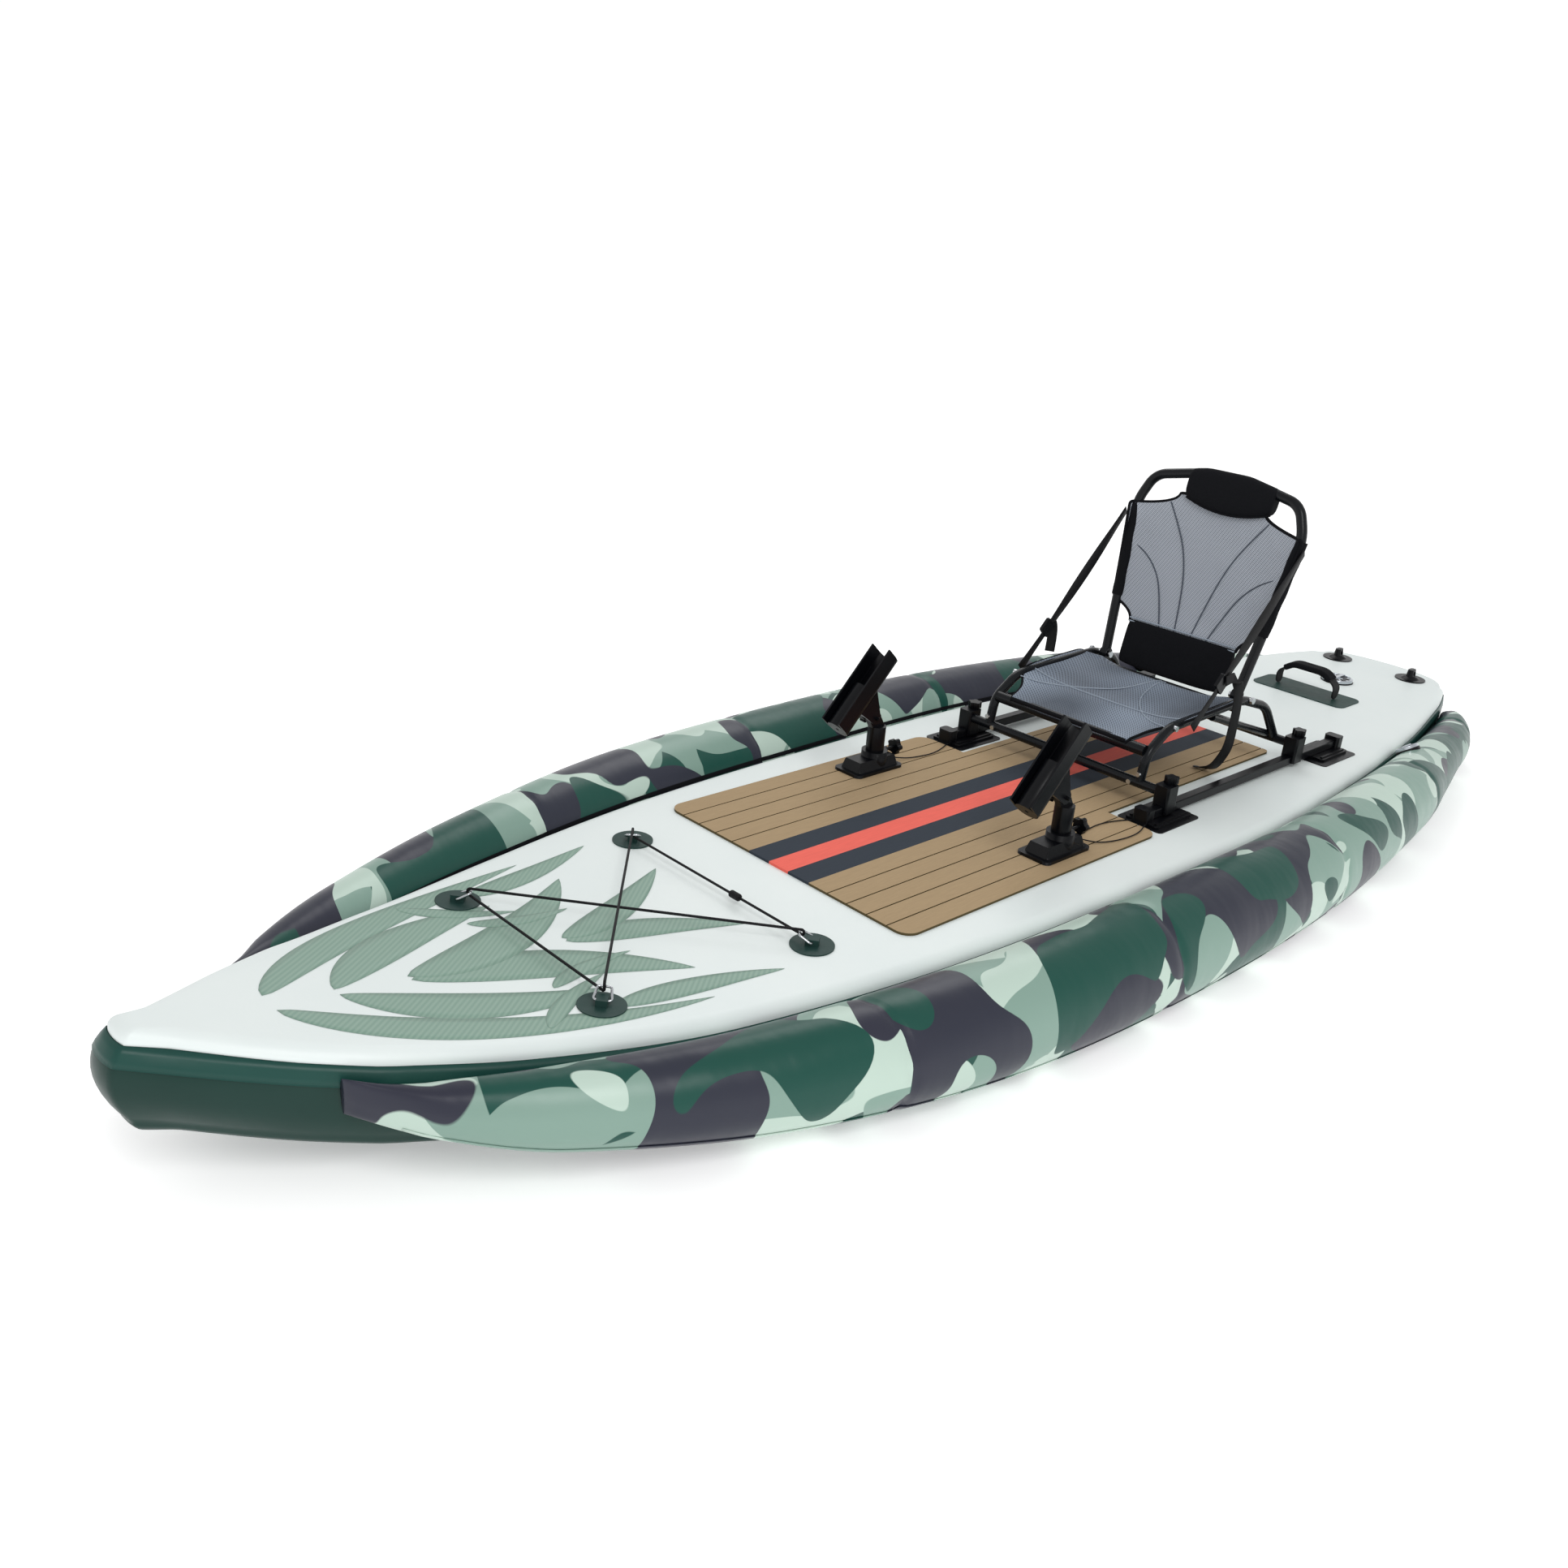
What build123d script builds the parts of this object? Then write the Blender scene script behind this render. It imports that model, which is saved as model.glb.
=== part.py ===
"""Inflatable fishing kayak: drop-stitch board, side chambers, framed chair on rails, rod holders.

Frame: +X to the bow, +Y to port, +Z up. The origin is on the ground under the middle of the hull.
"""
import os
from math import atan2, cos, degrees, pi, radians, sin, tan

from build123d import *

os.makedirs("parts", exist_ok=True)

# ---------------------------------------------------------------- driving dimensions (mm)
LENGTH = 3508.0
HALF_LENGTH = LENGTH / 2
BOARD_T = 148.0
SHEET_T = 2.0
DECK = BOARD_T + SHEET_T
PAD_T = 5.0
PAD_TOP = DECK + PAD_T
SKIN = 2.0
GAP = 0.3
RUN_FIT = 0.05

ROCKER_START = 950.0
ROCKER_RADIUS = 3140.0
NOSE_RADIUS = 70.0

# x, half-width over the rail, rail bulge beyond the deck edge
STATIONS = [
    (-1760, 165, 8),
    (-1578, 228, 5),
    (-1450, 262, 5),
    (-1236, 311, 5),
    (-1040, 344, 5),
    (-845, 374, 6),
    (-356, 420, 8),
    (133, 421, 12),
    (622, 397, 14),
    (1013, 335, 14),
    (1306, 250, 14),
    (1440, 201, 14),
    (1488, 183, 14),
    (1649, 99, 14),
    (1760, 36, 14),
]

# x, radius, height of the centre of the side chamber
CHAMBER = [
    (-1578, 14, 66),
    (-1450, 50, 77),
    (-1236, 58, 92),
    (-1040, 69, 99),
    (-845, 80, 106),
    (-356, 91, 106),
    (133, 97, 100),
    (622, 94, 97),
    (1013, 77, 100),
    (1306, 57, 113),
    (1440, 37, 128),
    (1488, 8, 134),
]
CHAMBER_GAP = 1.0


def finish(built, name):
    """Label one finished piece and write its STEP file."""
    built.part.label = name
    export_step(built.part, f"parts/{name}.step")


def report_cord(name, route, part, radius, corner_radii):
    """Print a cord's length, its volume against section times length, and its bends."""
    ratio = part.volume / (route.length * pi * radius**2)
    bends = [round(r, 1) for r in corner_radii]
    print(f"{name}: length {route.length:.0f} mm, volume ratio {ratio:.3f}, radii {bends}")


def rise(x):
    """Height that the upswept bow adds at x."""
    return max(0.0, x - ROCKER_START) ** 2 / (2 * ROCKER_RADIUS)


def tangent_at(table, column, row):
    """Slope of one column at a row, from its neighbours."""
    low = table[max(row - 1, 0)]
    high = table[min(row + 1, len(table) - 1)]
    return (high[column] - low[column]) / (high[0] - low[0])


def along(table, column, x):
    """Smooth value of a column at x: cubic Hermite between the rows."""
    row = max(i for i in range(len(table) - 1) if table[i][0] <= x)
    low, high = table[row], table[row + 1]
    span = high[0] - low[0]
    t = (x - low[0]) / span
    start = tangent_at(table, column, row) * span
    end = tangent_at(table, column, row + 1) * span
    rest = low[column] * (1 - t) ** 2 * (1 + 2 * t) + high[column] * t**2 * (3 - 2 * t)
    return rest + start * t * (1 - t) ** 2 - end * t**2 * (1 - t)


def section_places(table):
    """The rows' x values with one more halfway between each pair."""
    places = [table[0][0]]
    for low, high in zip(table, table[1:]):
        places += [(low[0] + high[0]) / 2, high[0]]
    return places


def rail_half(x):
    return along(STATIONS, 1, x)


def deck_plane(x, y, lift=0.0):
    """Plane on the deck sheet, tilted with the bow's sweep."""
    slope = max(0.0, x - ROCKER_START) / ROCKER_RADIUS
    normal = Vector(-slope, 0, 1).normalized()
    origin = Vector(x, y, DECK + rise(x)) + normal * lift
    return Plane(origin=origin, x_dir=(1, 0, slope), z_dir=normal)


def cross_plane(x, z=0.0):
    """Plane across the hull at x: its x axis is +Y and its y axis is +Z."""
    return Plane(origin=(x, 0, z), x_dir=(0, 1, 0), z_dir=(1, 0, 0))


# ---------------------------------------------------------------- hull board
CORNER_RUN = 25.0
CORNER_DROP = 18.0


def flat_half(x):
    """Half-width of the flat top at x."""
    return max(rail_half(x) - along(STATIONS, 2, x) - CORNER_RUN, 4.0)


def board_section(x, inset):
    """Closed section of the board: flat top and bottom, rolled corners, bulging rails."""
    half = rail_half(x)
    bulge = along(STATIONS, 2, x)
    top = BOARD_T - inset
    flat = flat_half(x)
    edge = max(half - bulge - inset, flat + 3.0)
    with BuildSketch(cross_plane(x, rise(x))) as section:
        with BuildLine():
            Line((-flat, top), (flat, top))
            Line((-flat, inset), (flat, inset))
            for side in (1, -1):
                upper = (side * edge, top - CORNER_DROP)
                lower = (side * edge, inset + CORNER_DROP)
                TangentArc((side * flat, top), upper, tangent=(side, 0))
                TangentArc((side * flat, inset), lower, tangent=(side, 0))
                ThreePointArc(upper, (side * (half - inset), BOARD_T / 2), lower)
        make_face()
    return section.sketch


def plan_outline(inset):
    """Plan shape that rounds the nose and the stern."""
    nose_x = HALF_LENGTH - NOSE_RADIUS
    nose_r = NOSE_RADIUS - inset
    turn = radians(60)
    nose_side = (nose_x + nose_r * cos(turn), nose_r * sin(turn))
    stern = -HALF_LENGTH + inset
    corner_start = (stern + 25, 130)
    corner_mid = (stern + 48, 160)
    corner_end = (stern + 82, 180)
    with BuildSketch() as outline:
        with BuildLine():
            ThreePointArc(
                (nose_side[0], -nose_side[1]), (nose_x + nose_r, 0), nose_side
            )
            ThreePointArc((corner_start[0], -corner_start[1]), (stern, 0), corner_start)
            for side in (1, -1):
                begin = (corner_start[0], side * corner_start[1])
                middle = (corner_mid[0], side * corner_mid[1])
                end = (corner_end[0], side * corner_end[1])
                ThreePointArc(begin, middle, end)
                Polyline(end, (-1600, side * 500), (1500, side * 500), (nose_side[0], side * nose_side[1]))
        make_face()
    return outline.sketch


def board_body(inset):
    """Board shape, drawn in by inset on every face."""
    with BuildPart() as shape:
        loft([board_section(x, inset) for x in section_places(STATIONS)], ruled=True)
        extrude(plan_outline(inset), amount=400, mode=Mode.INTERSECT)
    return shape.part


VALVE_X = -1425.0
CHAMBER_VALVE_X = -1040.0

board_outer = board_body(0.0)
with BuildPart() as hull_board:
    add(board_outer)
    add(board_body(SKIN), mode=Mode.SUBTRACT)
    with BuildSketch(Plane.XY.offset(DECK)):
        with Locations((VALVE_X, 0)):
            Circle(31.0)
    extrude(amount=-30, mode=Mode.SUBTRACT)
finish(hull_board, "hull_board")


def sheet_section(x):
    """Thin flat section of the deck sheet."""
    with BuildSketch(cross_plane(x, rise(x) + BOARD_T)) as section:
        with Locations((0, SHEET_T / 2)):
            Rectangle(2 * flat_half(x) - 2, SHEET_T)
    return section.sketch


with BuildPart() as deck_panel:
    loft([sheet_section(x) for x in section_places(STATIONS)], ruled=True)
    extrude(plan_outline(30.0), amount=400, mode=Mode.INTERSECT)
    with BuildSketch(Plane.XY.offset(DECK + 5)):
        with Locations((VALVE_X, 0)):
            Circle(31.0)
    extrude(amount=-30, mode=Mode.SUBTRACT)
finish(deck_panel, "deck_panel")

WEB_START = -1370.0
WEB_END = 815.0
WEB_SPACING = 80.0
with BuildPart() as dropstitch_webs:
    with BuildSketch(Plane.XY.offset(SKIN)):
        with Locations(((WEB_START + WEB_END) / 2, 0)):
            with GridLocations(1, WEB_SPACING, 1, 7):
                Rectangle(WEB_END - WEB_START, 0.8)
    extrude(amount=BOARD_T - 2 * SKIN)
finish(dropstitch_webs, "dropstitch_webs")


# ---------------------------------------------------------------- side chambers
TIP_HEIGHT = 34.0
ROUND_FROM = 37.0


def chamber_center(side, x):
    """Middle of the side chamber at x."""
    radius = along(CHAMBER, 1, x)
    return Vector(x, side * (rail_half(x) + CHAMBER_GAP + radius), along(CHAMBER, 2, x))


def chamber_section(side, x, inset):
    """Round section, which flattens upright into the seam at the bow tip."""
    radius = along(CHAMBER, 1, x)
    height = radius + 0.5
    if x > 0 and radius < ROUND_FROM:
        height = TIP_HEIGHT + (radius / ROUND_FROM) * (ROUND_FROM - TIP_HEIGHT) + 0.5
    center = chamber_center(side, x)
    if x == CHAMBER[0][0]:
        center.X += inset
    if x == CHAMBER[-1][0]:
        center.X -= inset
    with BuildSketch(Plane(origin=center, x_dir=(0, 1, 0), z_dir=(1, 0, 0))) as section:
        Ellipse(radius - inset, height - inset)
    return section.sketch


def chamber_body(side, inset):
    """Tapered tube along one rail, drawn in by inset."""
    with BuildPart() as shape:
        loft([chamber_section(side, x, inset) for x in section_places(CHAMBER)], ruled=True)
    return shape.part


VALVE_LEAN = 35.0


def chamber_valve_plane(side):
    """Seat of a chamber valve: on the tube, leaning inboard."""
    radius = along(CHAMBER, 1, CHAMBER_VALVE_X)
    lean = radians(VALVE_LEAN)
    normal = Vector(0, -side * sin(lean), cos(lean))
    center = chamber_center(side, CHAMBER_VALVE_X)
    return Plane(origin=center + normal * radius, x_dir=(1, 0, 0), z_dir=normal)


# ---------------------------------------------------------------- valves
def valve_parts(plane, scale, support):
    """Body, cap and sprung stem of one inflation valve, seated on a plane."""
    throat = 20.0 * scale
    bore = 15.0 * scale
    flange = 28.0 * scale
    with BuildPart() as body:
        with BuildSketch(plane.offset(-10)):
            Circle(flange)
        extrude(amount=13)
        chamfer(body.edges().sort_by(Axis(plane.origin, plane.z_dir))[-1], 1.5)
        add(support, mode=Mode.SUBTRACT)
        with BuildSketch(plane.offset(-26)):
            Circle(throat)
        extrude(amount=27)
        with BuildSketch(plane.offset(-23)):
            Circle(bore)
        extrude(amount=40, mode=Mode.SUBTRACT)
    with BuildPart() as cap:
        with BuildSketch(plane.offset(3 + GAP)):
            Circle(flange - 2)
        extrude(amount=5)
        with BuildSketch(plane.offset(3 + GAP + 5)):
            RectangleRounded(2 * (flange - 8), 7 * scale, 2)
        extrude(amount=4)
        with BuildSketch(plane.offset(-4)):
            Circle(bore - GAP)
        extrude(amount=8)
    with BuildPart() as stem:
        with BuildSketch(plane.offset(-17)):
            Circle(bore - 3)
        extrude(amount=2)
        with BuildSketch(plane.offset(-15)):
            Circle(3)
        extrude(amount=8)
    return body, cap, stem


VALVE_SIDES = {"left": 1, "right": -1}
valve_bodies = []
deck_support = Box(
    400, 400, 40, align=(Align.CENTER, Align.CENTER, Align.MAX)
).moved(Location((VALVE_X, 0, DECK)))
body, cap, stem = valve_parts(deck_plane(VALVE_X, 0), 1.5, deck_support)
valve_bodies.append(body.part)
finish(cap, "valve_cap_stern")
finish(stem, "valve_stem_stern")
for name, side in VALVE_SIDES.items():
    plane = chamber_valve_plane(side)
    outer = chamber_body(side, 0.0)
    with BuildPart() as chamber:
        add(outer)
        add(chamber_body(side, SKIN), mode=Mode.SUBTRACT)
        with BuildSketch(plane.offset(10)):
            Circle(20.0)
        extrude(amount=-40, mode=Mode.SUBTRACT)
    finish(chamber, f"side_chamber_{name}")
    body, cap, stem = valve_parts(plane, 1.0, outer)
    valve_bodies.append(body.part)
    finish(cap, f"valve_cap_{name}")
    finish(stem, f"valve_stem_{name}")
with BuildPart() as valve_body_set:
    for body in valve_bodies:
        add(body)
finish(valve_body_set, "valve_bodies")


# ---------------------------------------------------------------- deck pad
PAD_FRONT = 622.0
PAD_STEP = -100.0
PAD_REAR = -734.0
PAD_HALF = 308.0
PAD_NARROW = 189.0
RED_HALF = 24.5
BLACK_HALF = 77.0
PLANK = (PAD_HALF - BLACK_HALF) / 5
GROOVE_W = 3.0
GROOVE_DEPTH = 2.2

with BuildPart() as pad_tan:
    with BuildSketch(Plane.XY.offset(DECK)) as pad_plan:
        with Locations(((PAD_FRONT + PAD_STEP) / 2, 0)):
            RectangleRounded(PAD_FRONT - PAD_STEP, 2 * PAD_HALF, 28)
        with Locations(((PAD_STEP + PAD_REAR) / 2 + 15, 0)):
            RectangleRounded(PAD_STEP - PAD_REAR + 30, 2 * PAD_NARROW, 14)
        Rectangle(3000, 2 * BLACK_HALF, mode=Mode.SUBTRACT)
    extrude(amount=PAD_T)
    with BuildSketch(Plane.XY.offset(PAD_TOP)):
        for side in (1, -1):
            for plank in range(1, 5):
                with Locations((0, side * (BLACK_HALF + plank * PLANK))):
                    Rectangle(3000, GROOVE_W)
    extrude(amount=-GROOVE_DEPTH, mode=Mode.SUBTRACT)
finish(pad_tan, "pad_tan")

PAD_MIDDLE = (PAD_FRONT + PAD_REAR) / 2
PAD_LENGTH = PAD_FRONT - PAD_REAR
with BuildPart() as pad_black:
    with BuildSketch(Plane.XY.offset(DECK)):
        with Locations((PAD_MIDDLE, 0)):
            Rectangle(PAD_LENGTH, 2 * BLACK_HALF)
            Rectangle(PAD_LENGTH, 2 * RED_HALF, mode=Mode.SUBTRACT)
    extrude(amount=PAD_T)
finish(pad_black, "pad_black")

with BuildPart() as pad_red:
    with BuildSketch(Plane.XY.offset(DECK)):
        with Locations((PAD_MIDDLE, 0)):
            Rectangle(PAD_LENGTH, 2 * RED_HALF)
    extrude(amount=PAD_T)
finish(pad_red, "pad_red")


# ---------------------------------------------------------------- bow lashing
PATCH_R = 36.5
PATCH_T = 2.5
RING_WIRE = 2.0
RING_HALF = 14.0
RING_DEPTH = 24.0
RING_TILT = 30.0
RING_BAR_HEIGHT = 6.0
BUNGEE_R = 2.25
LASH_FRONT = (1145.0, 194.0)
LASH_REAR = (764.0, 233.0)
LASH_MIDDLE = Vector((LASH_FRONT[0] + LASH_REAR[0]) / 2, 0, 0)
LASH_POINTS = {
    "rear_right": (LASH_REAR[0], -LASH_REAR[1]),
    "front_left": (LASH_FRONT[0], LASH_FRONT[1]),
    "front_right": (LASH_FRONT[0], -LASH_FRONT[1]),
    "rear_left": (LASH_REAR[0], LASH_REAR[1]),
}


def ring_plane(x, y):
    """Plane of one D-ring: its x axis points inboard and up, its y axis is the bar."""
    seat = deck_plane(x, y, PATCH_T + RING_BAR_HEIGHT)
    inboard = (LASH_MIDDLE - Vector(x, y, 0)).normalized()
    inboard = (inboard - seat.z_dir * inboard.dot(seat.z_dir)).normalized()
    tilt = radians(RING_TILT)
    reach = inboard * cos(tilt) + seat.z_dir * sin(tilt)
    return Plane(origin=seat.origin, x_dir=reach, z_dir=seat.z_dir * cos(tilt) - inboard * sin(tilt))


with BuildPart() as lash_patches:
    for x, y in LASH_POINTS.values():
        with BuildSketch(deck_plane(x, y)):
            Circle(PATCH_R)
        extrude(amount=PATCH_T)
        ring = ring_plane(x, y)
        flat = deck_plane(x, y, PATCH_T)
        turn = degrees(atan2(ring.x_dir.Y, ring.x_dir.X))
        with BuildSketch(flat):
            with Locations(Location((0, 0, 0), (0, 0, turn))):
                Rectangle(22, 17)
        extrude(amount=RING_BAR_HEIGHT + 5)
        with BuildSketch(Plane(origin=ring.origin, x_dir=ring.x_dir, z_dir=ring.y_dir)):
            Circle(RING_WIRE + GAP)
        extrude(amount=30, both=True, mode=Mode.SUBTRACT)
    add(deck_panel.part, mode=Mode.SUBTRACT)
finish(lash_patches, "lash_patches")

with BuildPart() as d_rings:
    for x, y in LASH_POINTS.values():
        ring = ring_plane(x, y)
        with BuildLine(ring) as ring_path:
            FilletPolyline(
                (0, RING_HALF),
                (RING_DEPTH, RING_HALF - 4),
                (RING_DEPTH, 4 - RING_HALF),
                (0, -RING_HALF),
                radius=4.5,
                close=True,
            )
        start = ring_path.line @ 0
        with BuildSketch(Plane(origin=start, z_dir=ring_path.line % 0)):
            Circle(RING_WIRE)
        sweep(path=ring_path.line)
finish(d_rings, "d_rings")

# the cord goes under each ring's rim, up through its eye and back over the rim
RIM_CLEAR = RING_WIRE + BUNGEE_R + 0.6
EYE_INSET = 6.0
DIAGONAL_LIFT = 6.0
HOOK_RADIUS = 4.2


def rim_point(name, above):
    """Corner of the bungee inside one ring's eye, at a height above its rim."""
    x, y = LASH_POINTS[name]
    ring = ring_plane(x, y)
    inboard = Vector(ring.x_dir.X, ring.x_dir.Y, 0).normalized()
    return ring.origin + ring.x_dir * RING_DEPTH - inboard * EYE_INSET + Vector(0, 0, above)


KNOT_Y = 57.0
KNOT_LENGTH = 24.0
knot_line = rim_point("rear_left", -RIM_CLEAR)
bungee_route = [
    Vector(knot_line.X, KNOT_Y - KNOT_LENGTH / 2, knot_line.Z),
    rim_point("rear_right", -RIM_CLEAR),
    rim_point("rear_right", RIM_CLEAR + DIAGONAL_LIFT),
    rim_point("front_left", RIM_CLEAR + DIAGONAL_LIFT),
    rim_point("front_left", -RIM_CLEAR),
    rim_point("front_right", -RIM_CLEAR),
    rim_point("front_right", RIM_CLEAR),
    rim_point("rear_left", RIM_CLEAR),
    rim_point("rear_left", -RIM_CLEAR),
    Vector(knot_line.X, KNOT_Y + KNOT_LENGTH / 2, knot_line.Z),
]
with BuildPart() as bungee_cord:
    with BuildLine() as bungee_line:
        FilletPolyline(*bungee_route, radius=HOOK_RADIUS)
    with BuildSketch(Plane(origin=bungee_line.line @ 0, z_dir=bungee_line.line % 0)):
        Circle(BUNGEE_R)
    sweep(path=bungee_line.line)
finish(bungee_cord, "bungee_cord")
report_cord("bungee_cord", bungee_line.wire(), bungee_cord.part, BUNGEE_R, [HOOK_RADIUS])

with BuildPart() as bungee_knot:
    knot_plane = Plane(
        origin=(knot_line.X, KNOT_Y - KNOT_LENGTH / 2, knot_line.Z), x_dir=(1, 0, 0), z_dir=(0, 1, 0)
    )
    with BuildSketch(knot_plane):
        Circle(6.5)
    extrude(amount=KNOT_LENGTH)
    fillet(bungee_knot.edges().filter_by(GeomType.CIRCLE), 3.5)
finish(bungee_knot, "bungee_knot")


# ---------------------------------------------------------------- seat rails
RAIL_Y = 256.0
RAIL_W = 20.0
RAIL_LOW = 157.0
RAIL_HIGH = 176.0
RAIL_FRONT = -118.0
RAIL_REAR = -905.0
FRONT_PATCH_X = -180.0
REAR_PATCH_X = -838.0
GLUE_PATCH_T = 2.0

with BuildPart() as rail_patches:
    with BuildSketch(Plane.XY.offset(DECK)):
        for side in (1, -1):
            with Locations((FRONT_PATCH_X, side * RAIL_Y)):
                RectangleRounded(144, 104, 10)
            with Locations((REAR_PATCH_X, side * (RAIL_Y + 8))):
                RectangleRounded(150, 96, 10)
    extrude(amount=GLUE_PATCH_T)
finish(rail_patches, "rail_patches")

for name, side in VALVE_SIDES.items():
    with BuildPart() as rail:
        with BuildSketch(cross_plane(RAIL_REAR, RAIL_LOW)):
            with Locations((side * RAIL_Y, (RAIL_HIGH - RAIL_LOW) / 2)):
                RectangleRounded(RAIL_W, RAIL_HIGH - RAIL_LOW, 2)
                RectangleRounded(RAIL_W - 4, RAIL_HIGH - RAIL_LOW - 4, 1, mode=Mode.SUBTRACT)
        extrude(amount=RAIL_FRONT - RAIL_REAR)
    finish(rail, f"rail_{name}")

STOP_LENGTH = 26.0
with BuildPart() as rail_mounts:
    for side in (1, -1):
        for patch_x, length, stop_x in (
            (FRONT_PATCH_X, 128, RAIL_FRONT - STOP_LENGTH / 2 + 8),
            (REAR_PATCH_X - 6, 118, RAIL_REAR + STOP_LENGTH / 2 - 8),
        ):
            with BuildSketch(Plane.XY.offset(DECK + GLUE_PATCH_T)):
                with Locations((patch_x, side * RAIL_Y)):
                    RectangleRounded(length, 76, 8)
            extrude(amount=RAIL_LOW - DECK - GLUE_PATCH_T)
            with BuildSketch(Plane.XY.offset(RAIL_LOW)):
                with Locations((patch_x, side * RAIL_Y)):
                    with GridLocations(1, 58, 1, 2):
                        Rectangle(length - 16, 5)
            extrude(amount=3)
            with BuildSketch(Plane.XY.offset(DECK + GLUE_PATCH_T)):
                with Locations((stop_x, side * RAIL_Y)):
                    RectangleRounded(STOP_LENGTH, 36, 6)
            extrude(amount=RAIL_HIGH + 7 - DECK - GLUE_PATCH_T)
    with BuildSketch(cross_plane(RAIL_REAR, RAIL_LOW)):
        with Locations((RAIL_Y, (RAIL_HIGH - RAIL_LOW) / 2), (-RAIL_Y, (RAIL_HIGH - RAIL_LOW) / 2)):
            Rectangle(RAIL_W, RAIL_HIGH - RAIL_LOW)
    extrude(amount=RAIL_FRONT - RAIL_REAR, mode=Mode.SUBTRACT)
finish(rail_mounts, "rail_mounts")


# ---------------------------------------------------------------- stern fittings
HANDLE_X = -1254.0
HANDLE_FOOT = 78.0
HANDLE_TOP = 222.0
WEBBING_W = 30.0
with BuildPart() as handle_patch:
    with BuildSketch(Plane.XY.offset(DECK)):
        with Locations((HANDLE_X, 0)):
            RectangleRounded(112, 256, 22)
    extrude(amount=PATCH_T)
finish(handle_patch, "handle_patch")

HANDLE_BASE = DECK + PATCH_T
HANDLE_PLANE = Plane(origin=(HANDLE_X, 0, 0), x_dir=(0, 1, 0), z_dir=(1, 0, 0))
HANDLE_HINGE_Z = HANDLE_BASE + GAP + WEBBING_W / 2
SHOULDER = (42.0, HANDLE_TOP - 8)
ELBOW = (80.0, HANDLE_BASE + 34)
with BuildPart() as handle_space:
    with BuildSketch(Plane(origin=(HANDLE_X, 0, HANDLE_HINGE_Z), x_dir=(1, 0, 0), z_dir=(0, 1, 0))):
        Circle(WEBBING_W / 2)
        Rectangle(2 * WEBBING_W, HANDLE_TOP - HANDLE_HINGE_Z, align=(Align.CENTER, Align.MAX))
    extrude(amount=200, both=True)

with BuildPart() as handle_webbing:
    with BuildLine(HANDLE_PLANE) as webbing_line:
        FilletPolyline(
            (-HANDLE_FOOT, HANDLE_BASE + GAP),
            (-ELBOW[0], ELBOW[1]),
            (-SHOULDER[0], SHOULDER[1]),
            SHOULDER,
            ELBOW,
            (HANDLE_FOOT, HANDLE_BASE + GAP),
            radius=[22, 45, 45, 22],
        )
    with BuildSketch(Plane(origin=webbing_line.line @ 0, x_dir=(1, 0, 0), z_dir=webbing_line.line % 0)):
        Rectangle(WEBBING_W, 4)
    sweep(path=webbing_line.line)
    add(handle_space.part, mode=Mode.INTERSECT)
finish(handle_webbing, "handle_webbing")

GRIP_END = (62.0, 199.3)
with BuildPart() as handle_grip:
    with BuildLine(HANDLE_PLANE) as grip_line:
        FilletPolyline(
            (-GRIP_END[0], GRIP_END[1]),
            (-SHOULDER[0], SHOULDER[1]),
            SHOULDER,
            GRIP_END,
            radius=[45, 45],
        )
    with BuildSketch(Plane(origin=grip_line.line @ 0, x_dir=(1, 0, 0), z_dir=grip_line.line % 0)):
        RectangleRounded(WEBBING_W + 10, 15, 6)
    sweep(path=grip_line.line)
    add(handle_webbing.part, mode=Mode.SUBTRACT)
finish(handle_grip, "handle_grip")

STUD_X = -1636.0
STUD_Y = 106.0
with BuildPart() as lashing_studs:
    for side in (1, -1):
        with BuildSketch(Plane.XY.offset(DECK)):
            with Locations((STUD_X, side * STUD_Y)):
                Circle(39)
        extrude(amount=3)
        with BuildSketch(Plane.XY.offset(DECK + 3)):
            with Locations((STUD_X, side * STUD_Y)):
                Circle(24)
        extrude(amount=6, taper=55)
        with BuildSketch(Plane.XY.offset(DECK + 3)):
            with Locations((STUD_X, side * STUD_Y)):
                SlotOverall(34, 22)
        extrude(amount=25, taper=8)
        with BuildSketch(Plane(origin=(STUD_X, side * STUD_Y, DECK + 17), z_dir=(0, 1, 0))):
            Circle(6)
        extrude(amount=40, both=True, mode=Mode.SUBTRACT)
finish(lashing_studs, "lashing_studs")


# ---------------------------------------------------------------- knobs
def star_knob(plane, radius, height, stud_radius, stud_length):
    """Five-lobed thumb knob that sits on a plane, with its stud behind the plane."""
    with BuildPart() as knob:
        with BuildSketch(plane):
            Circle(0.78 * radius)
            with PolarLocations(0.68 * radius, 5):
                Circle(0.32 * radius)
        extrude(amount=height)
        with BuildSketch(plane):
            Circle(stud_radius)
        extrude(amount=-stud_length)
    return knob


# ---------------------------------------------------------------- rod holders
POST_X = 132.0
POST_Y = 240.0
POST_R = 19.0
POST_TOP = 246.0
BASE_TOP = 181.0
HUB_R = 27.0
HUB_TOP = 193.0
TILT_X = 150.0
TILT_Z = 268.0
TONGUE_T = 14.0
EAR_T = 6.0
HOLDER_R = 23.5
HOLDER_BORE = 20.0
HOLDER_LEAN = 43.0
HOLDER_LENGTH = 186.0
HOLDER_DROP = 68.0
SLOT_FROM = 100.0
FIN_REACH = 31.0
BASE_KNOB_Z = 187.0
BASE_KNOB_REACH = 57.0

lean = radians(HOLDER_LEAN)
UP_TUBE = Vector(-sin(lean), 0, cos(lean))
OUT_TUBE = Vector(cos(lean), 0, sin(lean))


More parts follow.
